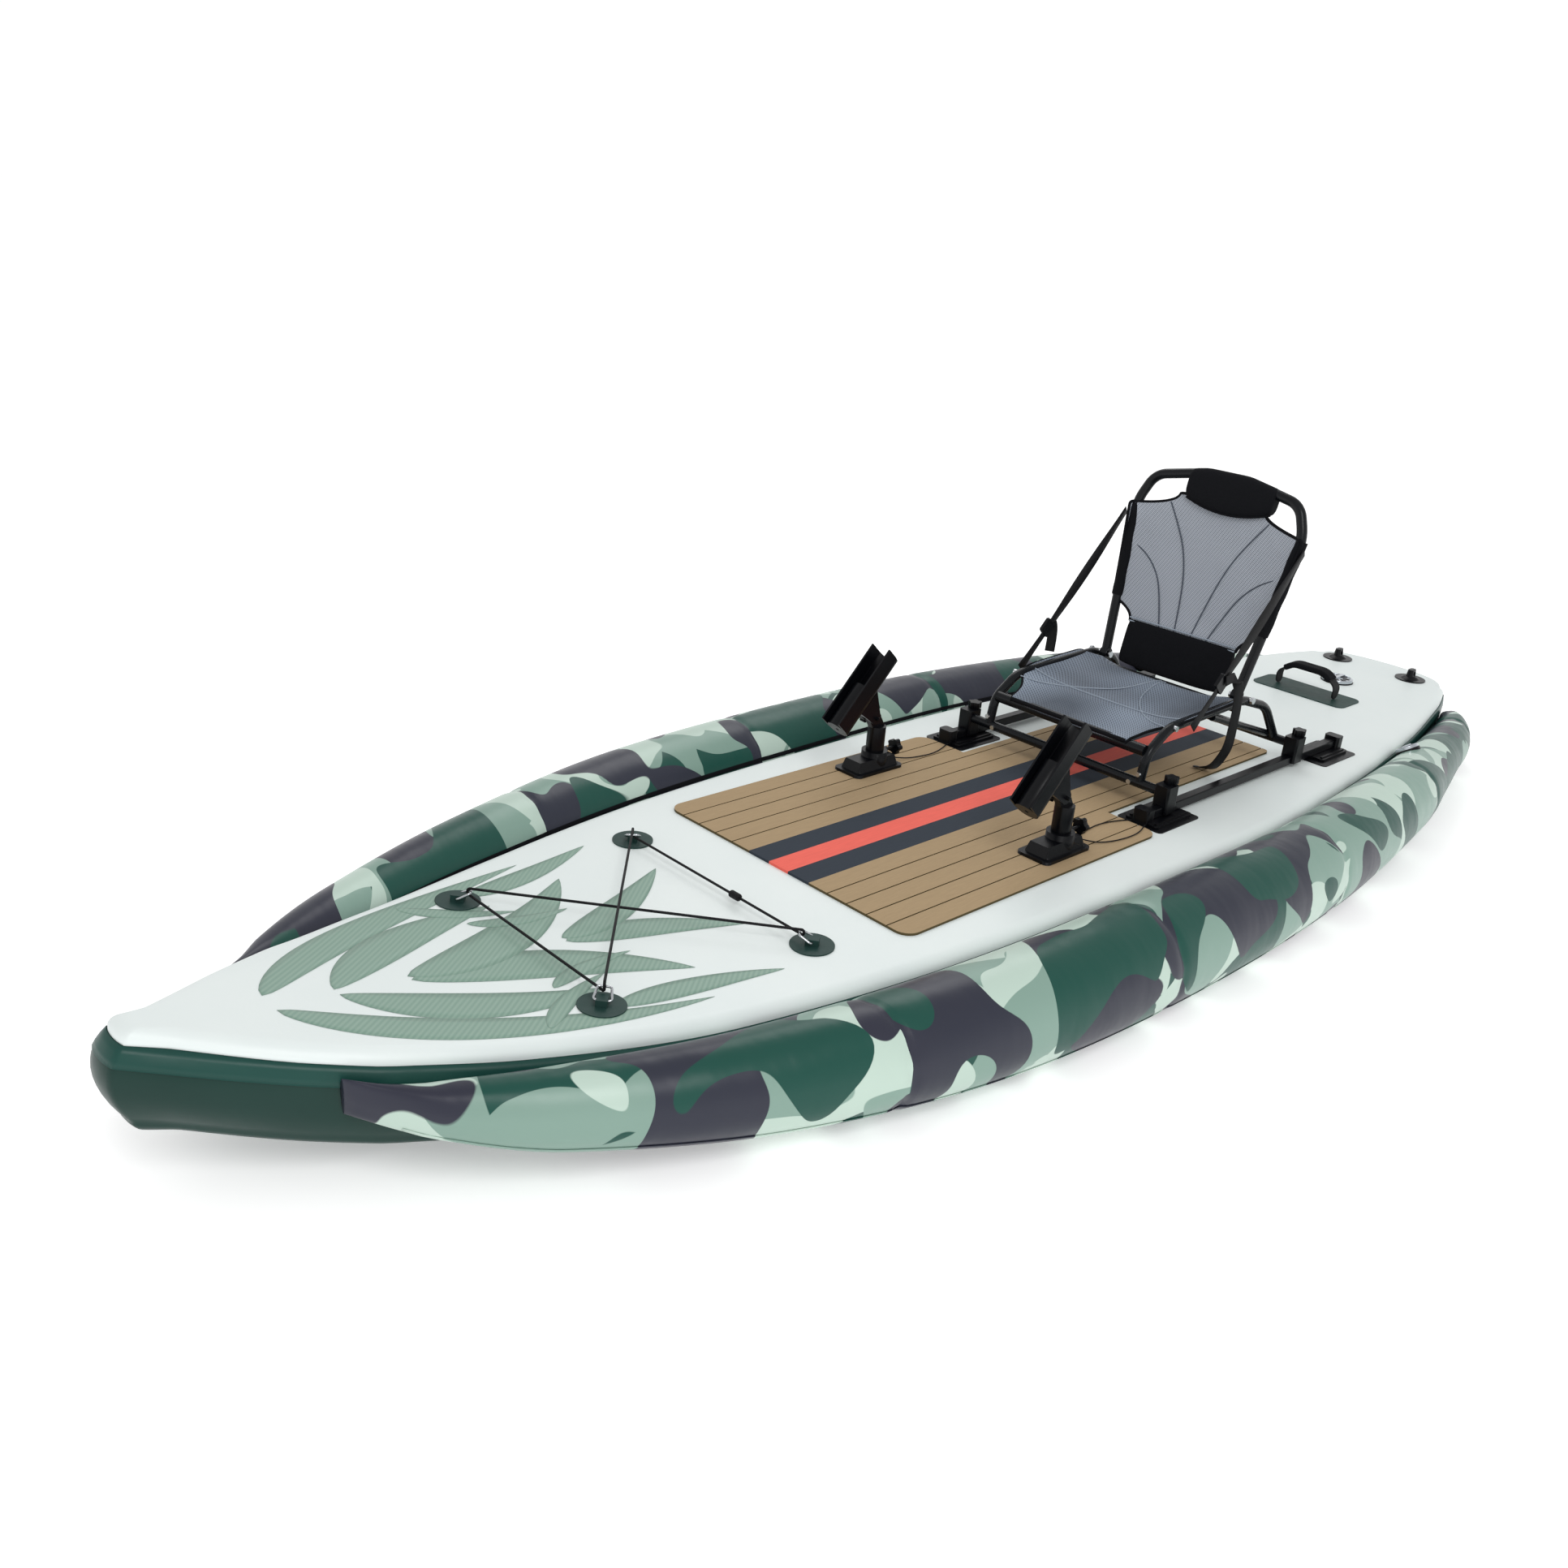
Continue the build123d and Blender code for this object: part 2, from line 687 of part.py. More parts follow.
def holder_plane(side, along_tube):
    """Plane across the holder tube: its x axis is +Y, its y axis faces the post."""
    pivot = Vector(TILT_X, side * POST_Y, TILT_Z)
    foot = pivot + OUT_TUBE * HOLDER_DROP - UP_TUBE * 74.0
    return Plane(origin=foot + UP_TUBE * along_tube, x_dir=(0, 1, 0), z_dir=UP_TUBE)


for name, side in VALVE_SIDES.items():
    middle_y = side * POST_Y
    with BuildPart() as rod_base:
        with BuildSketch(Plane.XY.offset(PAD_TOP)):
            with Locations((POST_X + 13, middle_y)):
                RectangleRounded(136, 74, 12)
        extrude(amount=6)
        with BuildSketch(Plane.XY.offset(PAD_TOP + 6)):
            with Locations((POST_X + 11, middle_y)):
                RectangleRounded(116, 56, 6)
        extrude(amount=BASE_TOP - PAD_TOP - 6, taper=20)
        with BuildSketch(Plane.XY.offset(PAD_TOP + 6)):
            with Locations((POST_X, middle_y)):
                Circle(HUB_R)
        extrude(amount=HUB_TOP - PAD_TOP - 6)
        with BuildSketch(Plane.XY.offset(HUB_TOP)):
            with Locations((POST_X, middle_y)):
                Circle(POST_R + RUN_FIT)
        extrude(amount=PAD_TOP + 8 - HUB_TOP, mode=Mode.SUBTRACT)
        rear = Plane(origin=(POST_X - 36, middle_y, BASE_KNOB_Z), x_dir=(0, 1, 0), z_dir=(-1, 0, 0))
        with BuildSketch(rear):
            Circle(6)
        extrude(amount=-14)
        with BuildSketch(Plane.XY.offset(HUB_TOP)):
            with Locations((POST_X, middle_y)):
                Circle(POST_R + RUN_FIT)
        extrude(amount=PAD_TOP + 8 - HUB_TOP, mode=Mode.SUBTRACT)
        with BuildSketch(rear):
            Circle(3 + RUN_FIT)
        extrude(amount=-30, mode=Mode.SUBTRACT)
        with BuildSketch(Plane(origin=(POST_X - 52, middle_y, PAD_TOP + 9), z_dir=(0, 1, 0))):
            Circle(4)
        extrude(amount=8, both=True)
    finish(rod_base, f"rod_base_{name}")

    with BuildPart() as post:
        with BuildSketch(Plane.XY.offset(PAD_TOP + 8 + GAP)):
            with Locations((POST_X, middle_y)):
                Circle(POST_R)
        extrude(amount=POST_TOP - PAD_TOP - 8 - GAP)
        with BuildSketch(Plane(origin=(0, middle_y, 0), x_dir=(1, 0, 0), z_dir=(0, -1, 0))):
            with BuildLine():
                Polyline((POST_X - 16, POST_TOP - 1), (TILT_X + 1, POST_TOP - 1), (TILT_X + 16, TILT_Z))
                ThreePointArc((TILT_X + 16, TILT_Z), (TILT_X, TILT_Z + 16), (TILT_X - 13.9, TILT_Z + 8))
                Line((TILT_X - 13.9, TILT_Z + 8), (POST_X - 16, POST_TOP - 1))
            make_face()
            with Locations((TILT_X, TILT_Z)):
                Circle(4 + RUN_FIT, mode=Mode.SUBTRACT)
        extrude(amount=TONGUE_T / 2, both=True)
    finish(post, f"rod_post_{name}")

    tongue_half = TONGUE_T / 2 + GAP
    ear_outer = tongue_half + EAR_T
    with BuildPart() as holder:
        with BuildSketch(Plane(origin=(0, middle_y, 0), x_dir=(1, 0, 0), z_dir=(0, -1, 0))) as arm:
            with BuildLine():
                pivot = Vector(TILT_X, TILT_Z, 0)
                out = Vector(OUT_TUBE.X, OUT_TUBE.Z, 0)
                up = Vector(UP_TUBE.X, UP_TUBE.Z, 0)
                Polyline(
                    pivot - up * 13,
                    pivot + out * (HOLDER_DROP - 12) - up * 20,
                    pivot + out * (HOLDER_DROP - 12) + up * 45,
                    pivot + up * 13,
                )
                ThreePointArc(pivot + up * 13, pivot - out * 13, pivot - up * 13)
            make_face()
        extrude(amount=ear_outer, both=True)
        with BuildSketch(Plane(origin=(0, middle_y, 0), x_dir=(1, 0, 0), z_dir=(0, -1, 0))):
            with Locations((TILT_X, TILT_Z)):
                Circle(31)
        extrude(amount=tongue_half, both=True, mode=Mode.SUBTRACT)
        with BuildSketch(holder_plane(side, 0)):
            Circle(HOLDER_R)
            for edge in (1, -1):
                with Locations((edge * (HOLDER_R - 0.5), -FIN_REACH / 2)):
                    Rectangle(4, FIN_REACH)
        extrude(amount=HOLDER_LENGTH)
        with BuildSketch(holder_plane(side, SLOT_FROM)):
            with Locations((0, -30)):
                Rectangle(2 * (HOLDER_R - 3), 60)
        extrude(amount=HOLDER_LENGTH, mode=Mode.SUBTRACT)
        with BuildSketch(holder_plane(side, 4)):
            Circle(HOLDER_BORE)
        extrude(amount=HOLDER_LENGTH, mode=Mode.SUBTRACT)
        with BuildSketch(holder_plane(side, -5)):
            Circle(4)
        extrude(amount=20, mode=Mode.SUBTRACT)
        with BuildSketch(Plane(origin=(0, middle_y, 0), x_dir=(1, 0, 0), z_dir=(0, -1, 0))):
            with Locations((TILT_X, TILT_Z)):
                Circle(4 + RUN_FIT)
        extrude(amount=40, both=True, mode=Mode.SUBTRACT)
    finish(holder, f"rod_holder_{name}")

    knob_y = middle_y - ear_outer - GAP
    seat_plane = Plane(origin=(TILT_X, knob_y, TILT_Z), x_dir=(1, 0, 0), z_dir=(0, -1, 0))
    finish(star_knob(seat_plane, 17, 12, 4, 2 * ear_outer + 8), f"rod_tilt_knob_{name}")
    knob_x = POST_X - BASE_KNOB_REACH
    knob_plane = Plane(origin=(knob_x, middle_y, BASE_KNOB_Z), x_dir=(0, 1, 0), z_dir=(-1, 0, 0))
    finish(star_knob(knob_plane, 17, 12, 3, BASE_KNOB_REACH - POST_R - 1), f"rod_base_knob_{name}")


# ---------------------------------------------------------------- safety lanyards
LANYARD_R = 1.25


def corner_radii(points):
    """Largest tangent arc that each corner's two runs allow."""
    radii = []
    for before, here, after in zip(points, points[1:], points[2:]):
        first, second = here - before, after - here
        turn = radians(first.get_angle(second))
        radii.append(0.45 * min(first.length, second.length) / tan(turn / 2))
    return radii


def cord_tube(name, points, radius):
    """Tube of straight runs and tangent arcs along a hand-chosen route."""
    radii = corner_radii(points)
    with BuildPart() as tube:
        with BuildLine() as line:
            FilletPolyline(*points, radius=radii)
        with BuildSketch(Plane(origin=line.line @ 0, z_dir=line.line % 0)):
            Circle(radius)
        sweep(path=line.line)
    report_cord(name, line.wire(), tube.part, radius, radii)
    finish(tube, name)


LANYARDS = {
    "lanyard_left_inner": [
        (75.4, 236, 164), (60, 234, 160.5), (36, 226, 157.5), (4, 219, 157), (-28, 217, 157),
        (-58, 222, 157), (-82, 230, 157), (-97, 236, 156.8), (-109.5, 240, 156),
    ],
    "lanyard_left_outer": [
        (74.7, 245, 164), (63, 253, 160.5), (46, 269, 157.5), (16, 281, 157), (-18, 287, 157),
        (-52, 288, 157), (-78, 283, 157), (-96, 276, 156.8), (-109.4, 271, 156),
    ],
    "lanyard_right": [
        (75.4, -238, 164), (60, -235, 160.5), (36, -227, 157.5), (4, -221, 157), (-28, -218, 157),
        (-58, -223, 157), (-82, -231, 157), (-97, -237, 156.8), (-109.5, -241, 156),
    ],
}
for name, points in LANYARDS.items():
    cord_tube(name, [Vector(*point) for point in points], LANYARD_R)


# ---------------------------------------------------------------- chair: clamps and lower frame
FRONT_BAR_X = -187.0
REAR_BAR_X = -700.0
CROSS_Z = 201.0
CROSS_R = 10.0
CROSS_END = 266.0
CLAMP_LOW = RAIL_LOW + 3.5
CLAMP_HIGH = 218.0
CLAMP_STUD_BACK = 18.0

with BuildPart() as crossbars:
    for bar_x in (FRONT_BAR_X, REAR_BAR_X):
        with BuildSketch(Plane(origin=(bar_x, 0, CROSS_Z), z_dir=(0, 1, 0))):
            Circle(CROSS_R)
        extrude(amount=CROSS_END, both=True)
finish(crossbars, "crossbars")

for name, bar_x in (("front", FRONT_BAR_X), ("rear", REAR_BAR_X)):
    with BuildPart() as clamps:
        for side in (1, -1):
            with BuildSketch(Plane.XY.offset(CLAMP_LOW)):
                with Locations((bar_x - 5, side * RAIL_Y)):
                    RectangleRounded(38, 34, 5)
            extrude(amount=CLAMP_HIGH - CLAMP_LOW)
            with BuildSketch(cross_plane(bar_x - 60, 0)):
                with Locations((side * RAIL_Y, RAIL_HIGH + 2 * GAP)):
                    Rectangle(RAIL_W + 4 * GAP, 60, align=(Align.CENTER, Align.MAX))
            extrude(amount=120, mode=Mode.SUBTRACT)
            with BuildSketch(Plane.XY.offset(CLAMP_HIGH)):
                with Locations((bar_x - CLAMP_STUD_BACK, side * RAIL_Y)):
                    Circle(4 + RUN_FIT)
            extrude(amount=RAIL_HIGH - CLAMP_HIGH, mode=Mode.SUBTRACT)
        add(crossbars.part, mode=Mode.SUBTRACT)
    finish(clamps, f"{name}_clamps")
    for side_name, side in VALVE_SIDES.items():
        knob_seat = Plane(
            origin=(bar_x - CLAMP_STUD_BACK, side * RAIL_Y, CLAMP_HIGH + GAP), z_dir=(0, 0, 1)
        )
        knob = star_knob(knob_seat, 15, 14, 4, CLAMP_HIGH - RAIL_HIGH - 1.5)
        finish(knob, f"clamp_knob_{name}_{side_name}")


# ---------------------------------------------------------------- chair: seat frame
SIDE_R = 10.0
PIVOT_X = -559.0
PIVOT_Z = 314.0
PIVOT_Y = 172.0
PIVOT_BOLT_R = 4.0
SEAT_HALF = 184.0
side_points = [
    (FRONT_BAR_X, 196, CROSS_Z + 4),
    (-196, 196, 262),
    (-262, 196, 305),
    (-545, 196, 314),
    (-640, 202, 285),
    (REAR_BAR_X, 206, CROSS_Z + 4),
]
SIDE_BENDS = [45, 80, 120, 80]


def pivot_bolt(side):
    """Bolt through the side frame and the foot of the back hoop."""
    plane = Plane(origin=(PIVOT_X, 0, PIVOT_Z), x_dir=(1, 0, 0), z_dir=(0, side, 0))
    with BuildPart() as bolt:
        with BuildSketch(plane.offset(156)):
            Circle(7.5)
        extrude(amount=4.5)
        with BuildSketch(plane.offset(156)):
            Circle(PIVOT_BOLT_R)
        extrude(amount=56)
        with BuildSketch(plane.offset(208)):
            RegularPolygon(8, 6)
        extrude(amount=6)
    return bolt.part


side_frames = {}
for name, side in VALVE_SIDES.items():
    points = [Vector(x, side * y, z) for x, y, z in side_points]
    with BuildPart() as side_frame:
        with BuildLine() as side_line:
            FilletPolyline(*points, radius=SIDE_BENDS)
        with BuildSketch(Plane(origin=side_line.line @ 0, z_dir=side_line.line % 0)):
            Circle(SIDE_R)
        sweep(path=side_line.line)
        add(crossbars.part, mode=Mode.SUBTRACT)
        add(pivot_bolt(side), mode=Mode.SUBTRACT)
    finish(side_frame, f"side_frame_{name}")
    side_frames[name] = side_frame.part

BRACE_R = 8.0
BRACE_TOP = (-430.0, 194.0, 296.0)
BRACE_FOOT = (-696.0, 194.0, 207.0)
with BuildPart() as seat_bars:
    for side in (1, -1):
        top = Vector(BRACE_TOP[0], side * BRACE_TOP[1], BRACE_TOP[2])
        foot = Vector(BRACE_FOOT[0], side * BRACE_FOOT[1], BRACE_FOOT[2])
        with BuildSketch(Plane(origin=top, z_dir=foot - top)):
            Circle(BRACE_R)
        extrude(amount=(foot - top).length)
    add(crossbars.part, mode=Mode.SUBTRACT)
    for bar_x, bar_z, radius in ((-198, 266, 12), (-530, 296, 9)):
        with BuildSketch(Plane(origin=(bar_x, 0, bar_z), z_dir=(0, 1, 0))):
            Circle(radius)
        extrude(amount=190, both=True)
    for frame in side_frames.values():
        add(frame, mode=Mode.SUBTRACT)
finish(seat_bars, "seat_bars")

SLING_T = 4.0
sling_top = [(-205.0, 283.0), (-370.0, 291.0), (-536.0, 311.0)]
with BuildPart() as seat_sling:
    with BuildSketch(Plane(origin=(0, 0, 0), x_dir=(1, 0, 0), z_dir=(0, -1, 0))):
        with BuildLine():
            lower = [(x, z - SLING_T) for x, z in sling_top]
            ThreePointArc(*sling_top)
            ThreePointArc(*lower)
            Line(sling_top[0], lower[0])
            Line(sling_top[-1], lower[-1])
        make_face()
    extrude(amount=SEAT_HALF, both=True)
finish(seat_sling, "seat_sling")

with BuildPart() as frame_bolts:
    for side in (1, -1):
        add(pivot_bolt(side))
        for x, y, z in ((FRONT_BAR_X + 8, 196, 222), (FRONT_BAR_X + 9, 178, CROSS_Z)):
            with BuildSketch(Plane(origin=(x, side * y, z), z_dir=(1, 0, 0))):
                Circle(5)
            extrude(amount=5)
        with BuildSketch(Plane(origin=(-270, side * 202, 305), z_dir=(0, side, 0))):
            Circle(6)
        extrude(amount=8)
    for name in VALVE_SIDES:
        add(side_frames[name], mode=Mode.SUBTRACT)
    add(crossbars.part, mode=Mode.SUBTRACT)
finish(frame_bolts, "frame_bolts")


# ---------------------------------------------------------------- chair: folding back
BACK_LEAN = 12.5
HOOP_R = 11.0
lean = radians(BACK_LEAN)
BACK_PLANE = Plane(
    origin=(PIVOT_X, 0, PIVOT_Z), x_dir=(0, 1, 0), z_dir=(cos(lean), 0, sin(lean))
)
HOOP_CORNERS = [(PIVOT_Y, 0), (207, 350), (178, 418), (70, 440)]
HOOP_BENDS = [120, 50, 260]

with BuildPart() as back_hoop:
    with BuildLine(BACK_PLANE) as hoop_line:
        left_side = HOOP_CORNERS
        right_side = [(-y, up) for y, up in reversed(HOOP_CORNERS)]
        FilletPolyline(*left_side, *right_side, radius=HOOP_BENDS + HOOP_BENDS[::-1])
    with BuildSketch(Plane(origin=hoop_line.line @ 0, z_dir=hoop_line.line % 0)):
        Circle(HOOP_R)
    sweep(path=hoop_line.line)
    for side in (1, -1):
        with BuildSketch(Plane(origin=(PIVOT_X, side * PIVOT_Y, PIVOT_Z), z_dir=(0, 1, 0))):
            Circle(14)
        extrude(amount=9, both=True)
    with BuildSketch(Plane(origin=(PIVOT_X, 0, PIVOT_Z), z_dir=(0, 1, 0))):
        Circle(PIVOT_BOLT_R + RUN_FIT)
    extrude(amount=300, both=True, mode=Mode.SUBTRACT)
finish(back_hoop, "back_hoop")

with BuildPart() as back_mesh:
    with BuildSketch(BACK_PLANE):
        with BuildLine():
            outline = [(136, 106), (152, 108), (172, 142), (192, 344), (142, 352), (126, 386)]
            Polyline(*outline, *[(-y, up) for y, up in reversed(outline)], close=True)
        make_face()
    extrude(amount=2, both=True)
finish(back_mesh, "back_mesh")

with BuildPart() as lumbar_pad:
    with BuildSketch(BACK_PLANE):
        with Locations((0, 53)):
            RectangleRounded(276, 100, 12)
    extrude(amount=8, both=True)
finish(lumbar_pad, "lumbar_pad")

with BuildPart() as head_pad:
    with BuildSketch(BACK_PLANE):
        with Locations((18, 421)):
            RectangleRounded(212, 68, 20)
    extrude(amount=15, both=True)
    add(back_hoop.part, mode=Mode.SUBTRACT)
finish(head_pad, "head_pad")


# ---------------------------------------------------------------- chair: side straps
STRAP_Y = 222.0
STRAP_W = 25.0
STRAP_T = 2.0
STRAP_LOW = Vector(-306, 304)
STRAP_HIGH = Vector(-622, 634)
strap_run = STRAP_HIGH - STRAP_LOW
strap_slope = degrees(atan2(strap_run.Y, strap_run.X))
STRAP_MIDDLE = (STRAP_LOW + STRAP_HIGH) / 2
BUCKLE_AT = STRAP_LOW + strap_run * 0.25
BUCKLE_SIZE = (34.0, 32.0, 8.0)


def strap_plane(side, reach):
    """Plane of one side strap, facing outboard."""
    return Plane(origin=(0, side * reach, 0), x_dir=(1, 0, 0), z_dir=(0, -1, 0))


straps = {}
for name, side in VALVE_SIDES.items():
    with BuildPart() as strap:
        with BuildSketch(strap_plane(side, STRAP_Y + STRAP_T / 2)):
            with Locations(Location((STRAP_MIDDLE.X, STRAP_MIDDLE.Y, 0), (0, 0, strap_slope))):
                RectangleRounded(strap_run.length, STRAP_W, 3)
        extrude(amount=STRAP_T / 2, both=True)
        with BuildSketch(strap_plane(side, (STRAP_Y + 204) / 2)):
            with Locations((-304, 305)):
                RectangleRounded(22, 8, 2)
        extrude(amount=(STRAP_Y - 204) / 2, both=True)
        add(side_frames[name], mode=Mode.SUBTRACT)
    finish(strap, f"side_strap_{name}")
    straps[name] = strap.part

with BuildPart() as strap_buckles:
    for name, side in VALVE_SIDES.items():
        with BuildSketch(strap_plane(side, STRAP_Y + STRAP_T / 2)):
            with Locations(Location((BUCKLE_AT.X, BUCKLE_AT.Y, 0), (0, 0, strap_slope))):
                RectangleRounded(BUCKLE_SIZE[0], BUCKLE_SIZE[1], 4)
        extrude(amount=BUCKLE_SIZE[2] / 2, both=True)
        add(straps[name], mode=Mode.SUBTRACT)
finish(strap_buckles, "strap_buckles")

TAIL_R = 3.0
TAILS = (
    [
        (-390, 230.2, 392), (-418, 231, 396), (-442, 232, 374), (-454, 232, 330), (-457, 231, 280),
        (-458, 228, 235), (-466, 212, 198), (-476, 194, 174), (-482, 172, 162), (-476, 150, 160),
    ],
    [(-390, -230.2, 392), (-410, -231, 394), (-421, -232, 378), (-424, -233, 350), (-423, -233, 322)],
)
with BuildPart() as strap_tails:
    for points in TAILS:
        route = [Vector(*point) for point in points]
        with BuildLine() as tail_line:
            FilletPolyline(*route, radius=corner_radii(route))
        with BuildSketch(Plane(origin=tail_line.line @ 0, z_dir=tail_line.line % 0)):
            Circle(TAIL_R)
        sweep(path=tail_line.line)
finish(strap_tails, "strap_tails")
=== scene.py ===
"""Looks of the inflatable fishing kayak: skins, print, cloth, webbing and cords around the CAD frame."""

import math

import bmesh
import bpy
from mathutils import Matrix, Vector, noise


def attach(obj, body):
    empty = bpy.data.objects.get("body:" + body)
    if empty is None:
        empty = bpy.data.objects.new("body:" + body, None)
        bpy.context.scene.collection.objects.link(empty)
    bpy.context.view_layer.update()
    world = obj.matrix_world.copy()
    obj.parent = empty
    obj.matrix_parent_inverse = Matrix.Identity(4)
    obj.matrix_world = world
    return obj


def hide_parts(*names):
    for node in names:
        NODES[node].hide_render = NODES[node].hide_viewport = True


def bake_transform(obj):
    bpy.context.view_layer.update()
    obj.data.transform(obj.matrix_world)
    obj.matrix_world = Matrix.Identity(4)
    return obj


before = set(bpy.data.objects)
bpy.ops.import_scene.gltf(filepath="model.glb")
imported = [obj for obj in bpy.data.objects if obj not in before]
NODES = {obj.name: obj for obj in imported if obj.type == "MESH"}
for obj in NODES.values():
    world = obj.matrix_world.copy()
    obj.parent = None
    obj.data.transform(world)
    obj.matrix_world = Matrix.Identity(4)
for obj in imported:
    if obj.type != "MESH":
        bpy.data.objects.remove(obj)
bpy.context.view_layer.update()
SIDES = {"left": 1, "right": -1}


def evenly(low, high, count):
    """Even places from low to high, both included."""
    return [low + (high - low) * i / count for i in range(count + 1)]


def climb(value, start, run):
    """0 up to start, then rising evenly to 1 over the run."""
    return min(max((value - start) / run, 0.0), 1.0)


def scene_object(name, data):
    """New object of a mesh, curve, lamp or camera, in the scene."""
    obj = bpy.data.objects.new(name, data)
    bpy.context.scene.collection.objects.link(obj)
    return obj


# ---- camera and light
def look_from(location, right, up, back):
    """World matrix of a camera at a place, from the directions of its axes."""
    columns = [Vector(axis).normalized() for axis in (right, up, back)]
    matrix = Matrix(columns).transposed().to_4x4()
    matrix.translation = Vector(location)
    return matrix


def make_camera():
    data = bpy.data.cameras.new("camera")
    data.lens = 32.875
    data.sensor_width = 36.0
    data.clip_end = 200.0
    camera = scene_object("camera", data)
    camera.matrix_world = look_from(
        (2.2190, 1.6051, 1.250),
        (-0.73004, 0.67887, 0.07860),
        (-0.20843, -0.33070, 0.92043),
        (0.65084, 0.65557, 0.38292),
    )
    bpy.context.scene.camera = camera


def make_light(name, place, aim, size, watts):
    data = bpy.data.lights.new(name, "AREA")
    data.shape = "DISK"
    data.size = size
    data.energy = watts
    light = scene_object(name, data)
    light.location = place
    light.rotation_euler = (Vector(aim) - Vector(place)).to_track_quat("-Z", "Y").to_euler()


def make_world(low, high):
    """White surround, brighter near the horizon than overhead."""
    world = bpy.data.worlds.new("studio")
    world.use_nodes = True
    tree = world.node_tree
    coord = tree.nodes.new("ShaderNodeTexCoord")
    split = tree.nodes.new("ShaderNodeSeparateXYZ")
    ramp = tree.nodes.new("ShaderNodeMapRange")
    for key, value in (("From Min", 0.20), ("From Max", 0.50), ("To Min", low), ("To Max", high)):
        ramp.inputs[key].default_value = value
    tree.links.new(coord.outputs["Generated"], split.inputs[0])
    tree.links.new(split.outputs["Z"], ramp.inputs["Value"])
    tree.links.new(ramp.outputs[0], tree.nodes["Background"].inputs["Strength"])
    tree.nodes["Background"].inputs["Color"].default_value = (1.0, 1.0, 1.0, 1.0)
    bpy.context.scene.world = world


def srgb(red, green, blue):
    """Linear colour of an 8-bit screen colour."""
    channels = []
    for value in (red, green, blue):
        c = value / 255
        channels.append(c / 12.92 if c <= 0.04045 else ((c + 0.055) / 1.055) ** 2.4)
    return (*channels, 1.0)


# ---- material builder
class Shader:
    """One procedural material, built node by node."""

    def __init__(self, name, roughness=0.5, **sockets):
        self.material = bpy.data.materials.new(name)
        self.material.use_nodes = True
        self.tree = self.material.node_tree
        self.surface = self.tree.nodes["Principled BSDF"]
        self.surface.inputs["Roughness"].default_value = roughness
        for key, value in sockets.items():
            self.surface.inputs[key.replace("_", " ")].default_value = value

    def node(self, kind, inputs=None, output=0, **settings):
        made = self.tree.nodes.new("ShaderNode" + kind)
        for key, value in settings.items():
            setattr(made, key, value)
        for key, value in (inputs or {}).items():
            if isinstance(value, bpy.types.NodeSocket):
                self.tree.links.new(value, made.inputs[key])
            else:
                made.inputs[key].default_value = value
        return made.outputs[output]

    def place(self):
        return self.node("TexCoord", output="Object")

    def scaled(self, vector, scale, turn=(0.0, 0.0, 0.0)):
        return self.node("Mapping", {"Vector": vector, "Scale": scale, "Rotation": turn})

    def noise(self, vector, scale, detail=2.0, distortion=0.0):
        inputs = {"Vector": vector, "Scale": scale, "Detail": detail, "Distortion": distortion}
        return self.node("TexNoise", inputs)

    def bands(self, vector, scale, axis="X"):
        return self.node(
            "TexWave", {"Vector": vector, "Scale": scale}, output=1,
            wave_type="BANDS", bands_direction=axis, wave_profile="SIN",
        )

    def step(self, value, at, soft=0.004):
        inputs = {"Value": value, "From Min": at - soft, "From Max": at + soft}
        return self.node("MapRange", inputs)

    def math(self, operation, first, second=0.0):
        return self.node("Math", {0: first, 1: second}, operation=operation)

    def mix(self, factor, first, second):
        inputs = {0: factor, 6: first, 7: second}
        return self.node("Mix", inputs, output=2, data_type="RGBA", blend_type="MIX")

    def axis(self, vector, name):
        return self.node("SeparateXYZ", {0: vector}, output=name)

    def color(self, socket):
        self.tree.links.new(socket, self.surface.inputs["Base Color"])

    def rough(self, value, low, high):
        """Roughness that runs from low to high with a value."""
        spread = self.node("MapRange", {"Value": value, "To Min": low, "To Max": high})
        self.tree.links.new(spread, self.surface.inputs["Roughness"])

    def bump(self, height, strength, distance, below=None):
        inputs = {"Height": height, "Strength": strength, "Distance": distance}
        if below is not None:
            inputs["Normal"] = below
        normal = self.node("Bump", inputs)
        self.tree.links.new(normal, self.surface.inputs["Normal"])
        return normal


def shade(color, factor):
    """A linear colour made darker or lighter."""
    return (color[0] * factor, color[1] * factor, color[2] * factor, 1.0)


# ---- materials
def coated(name, color, roughness, spread=0.10):
    """Coated fabric: faint cloth grain under a satin skin, with soft unevenness."""
    s = Shader(name, roughness, Specular_IOR_Level=0.28)
    place = s.place()
    soft = s.noise(place, 7.0, 3.0)
    s.color(s.mix(soft, shade(color, 1.0 - spread), shade(color, 1.0 + spread)))
    s.rough(s.noise(place, 60.0, 2.0), roughness - 0.05, roughness + 0.08)
    grain = s.noise(place, 900.0, 1.0)
    ripple = s.bump(soft, 0.25, 0.012)
    s.bump(grain, 0.12, 0.0004, ripple)
    return s.material


# the chambers' cloth is glued from panels, and the last one runs on over the tip
PANEL_START = -2.05
PANEL_LENGTH = 0.58
PANEL_END = 1.40
BLOT_DISTORTION = 0.30
BLOT_EDGE = 0.002


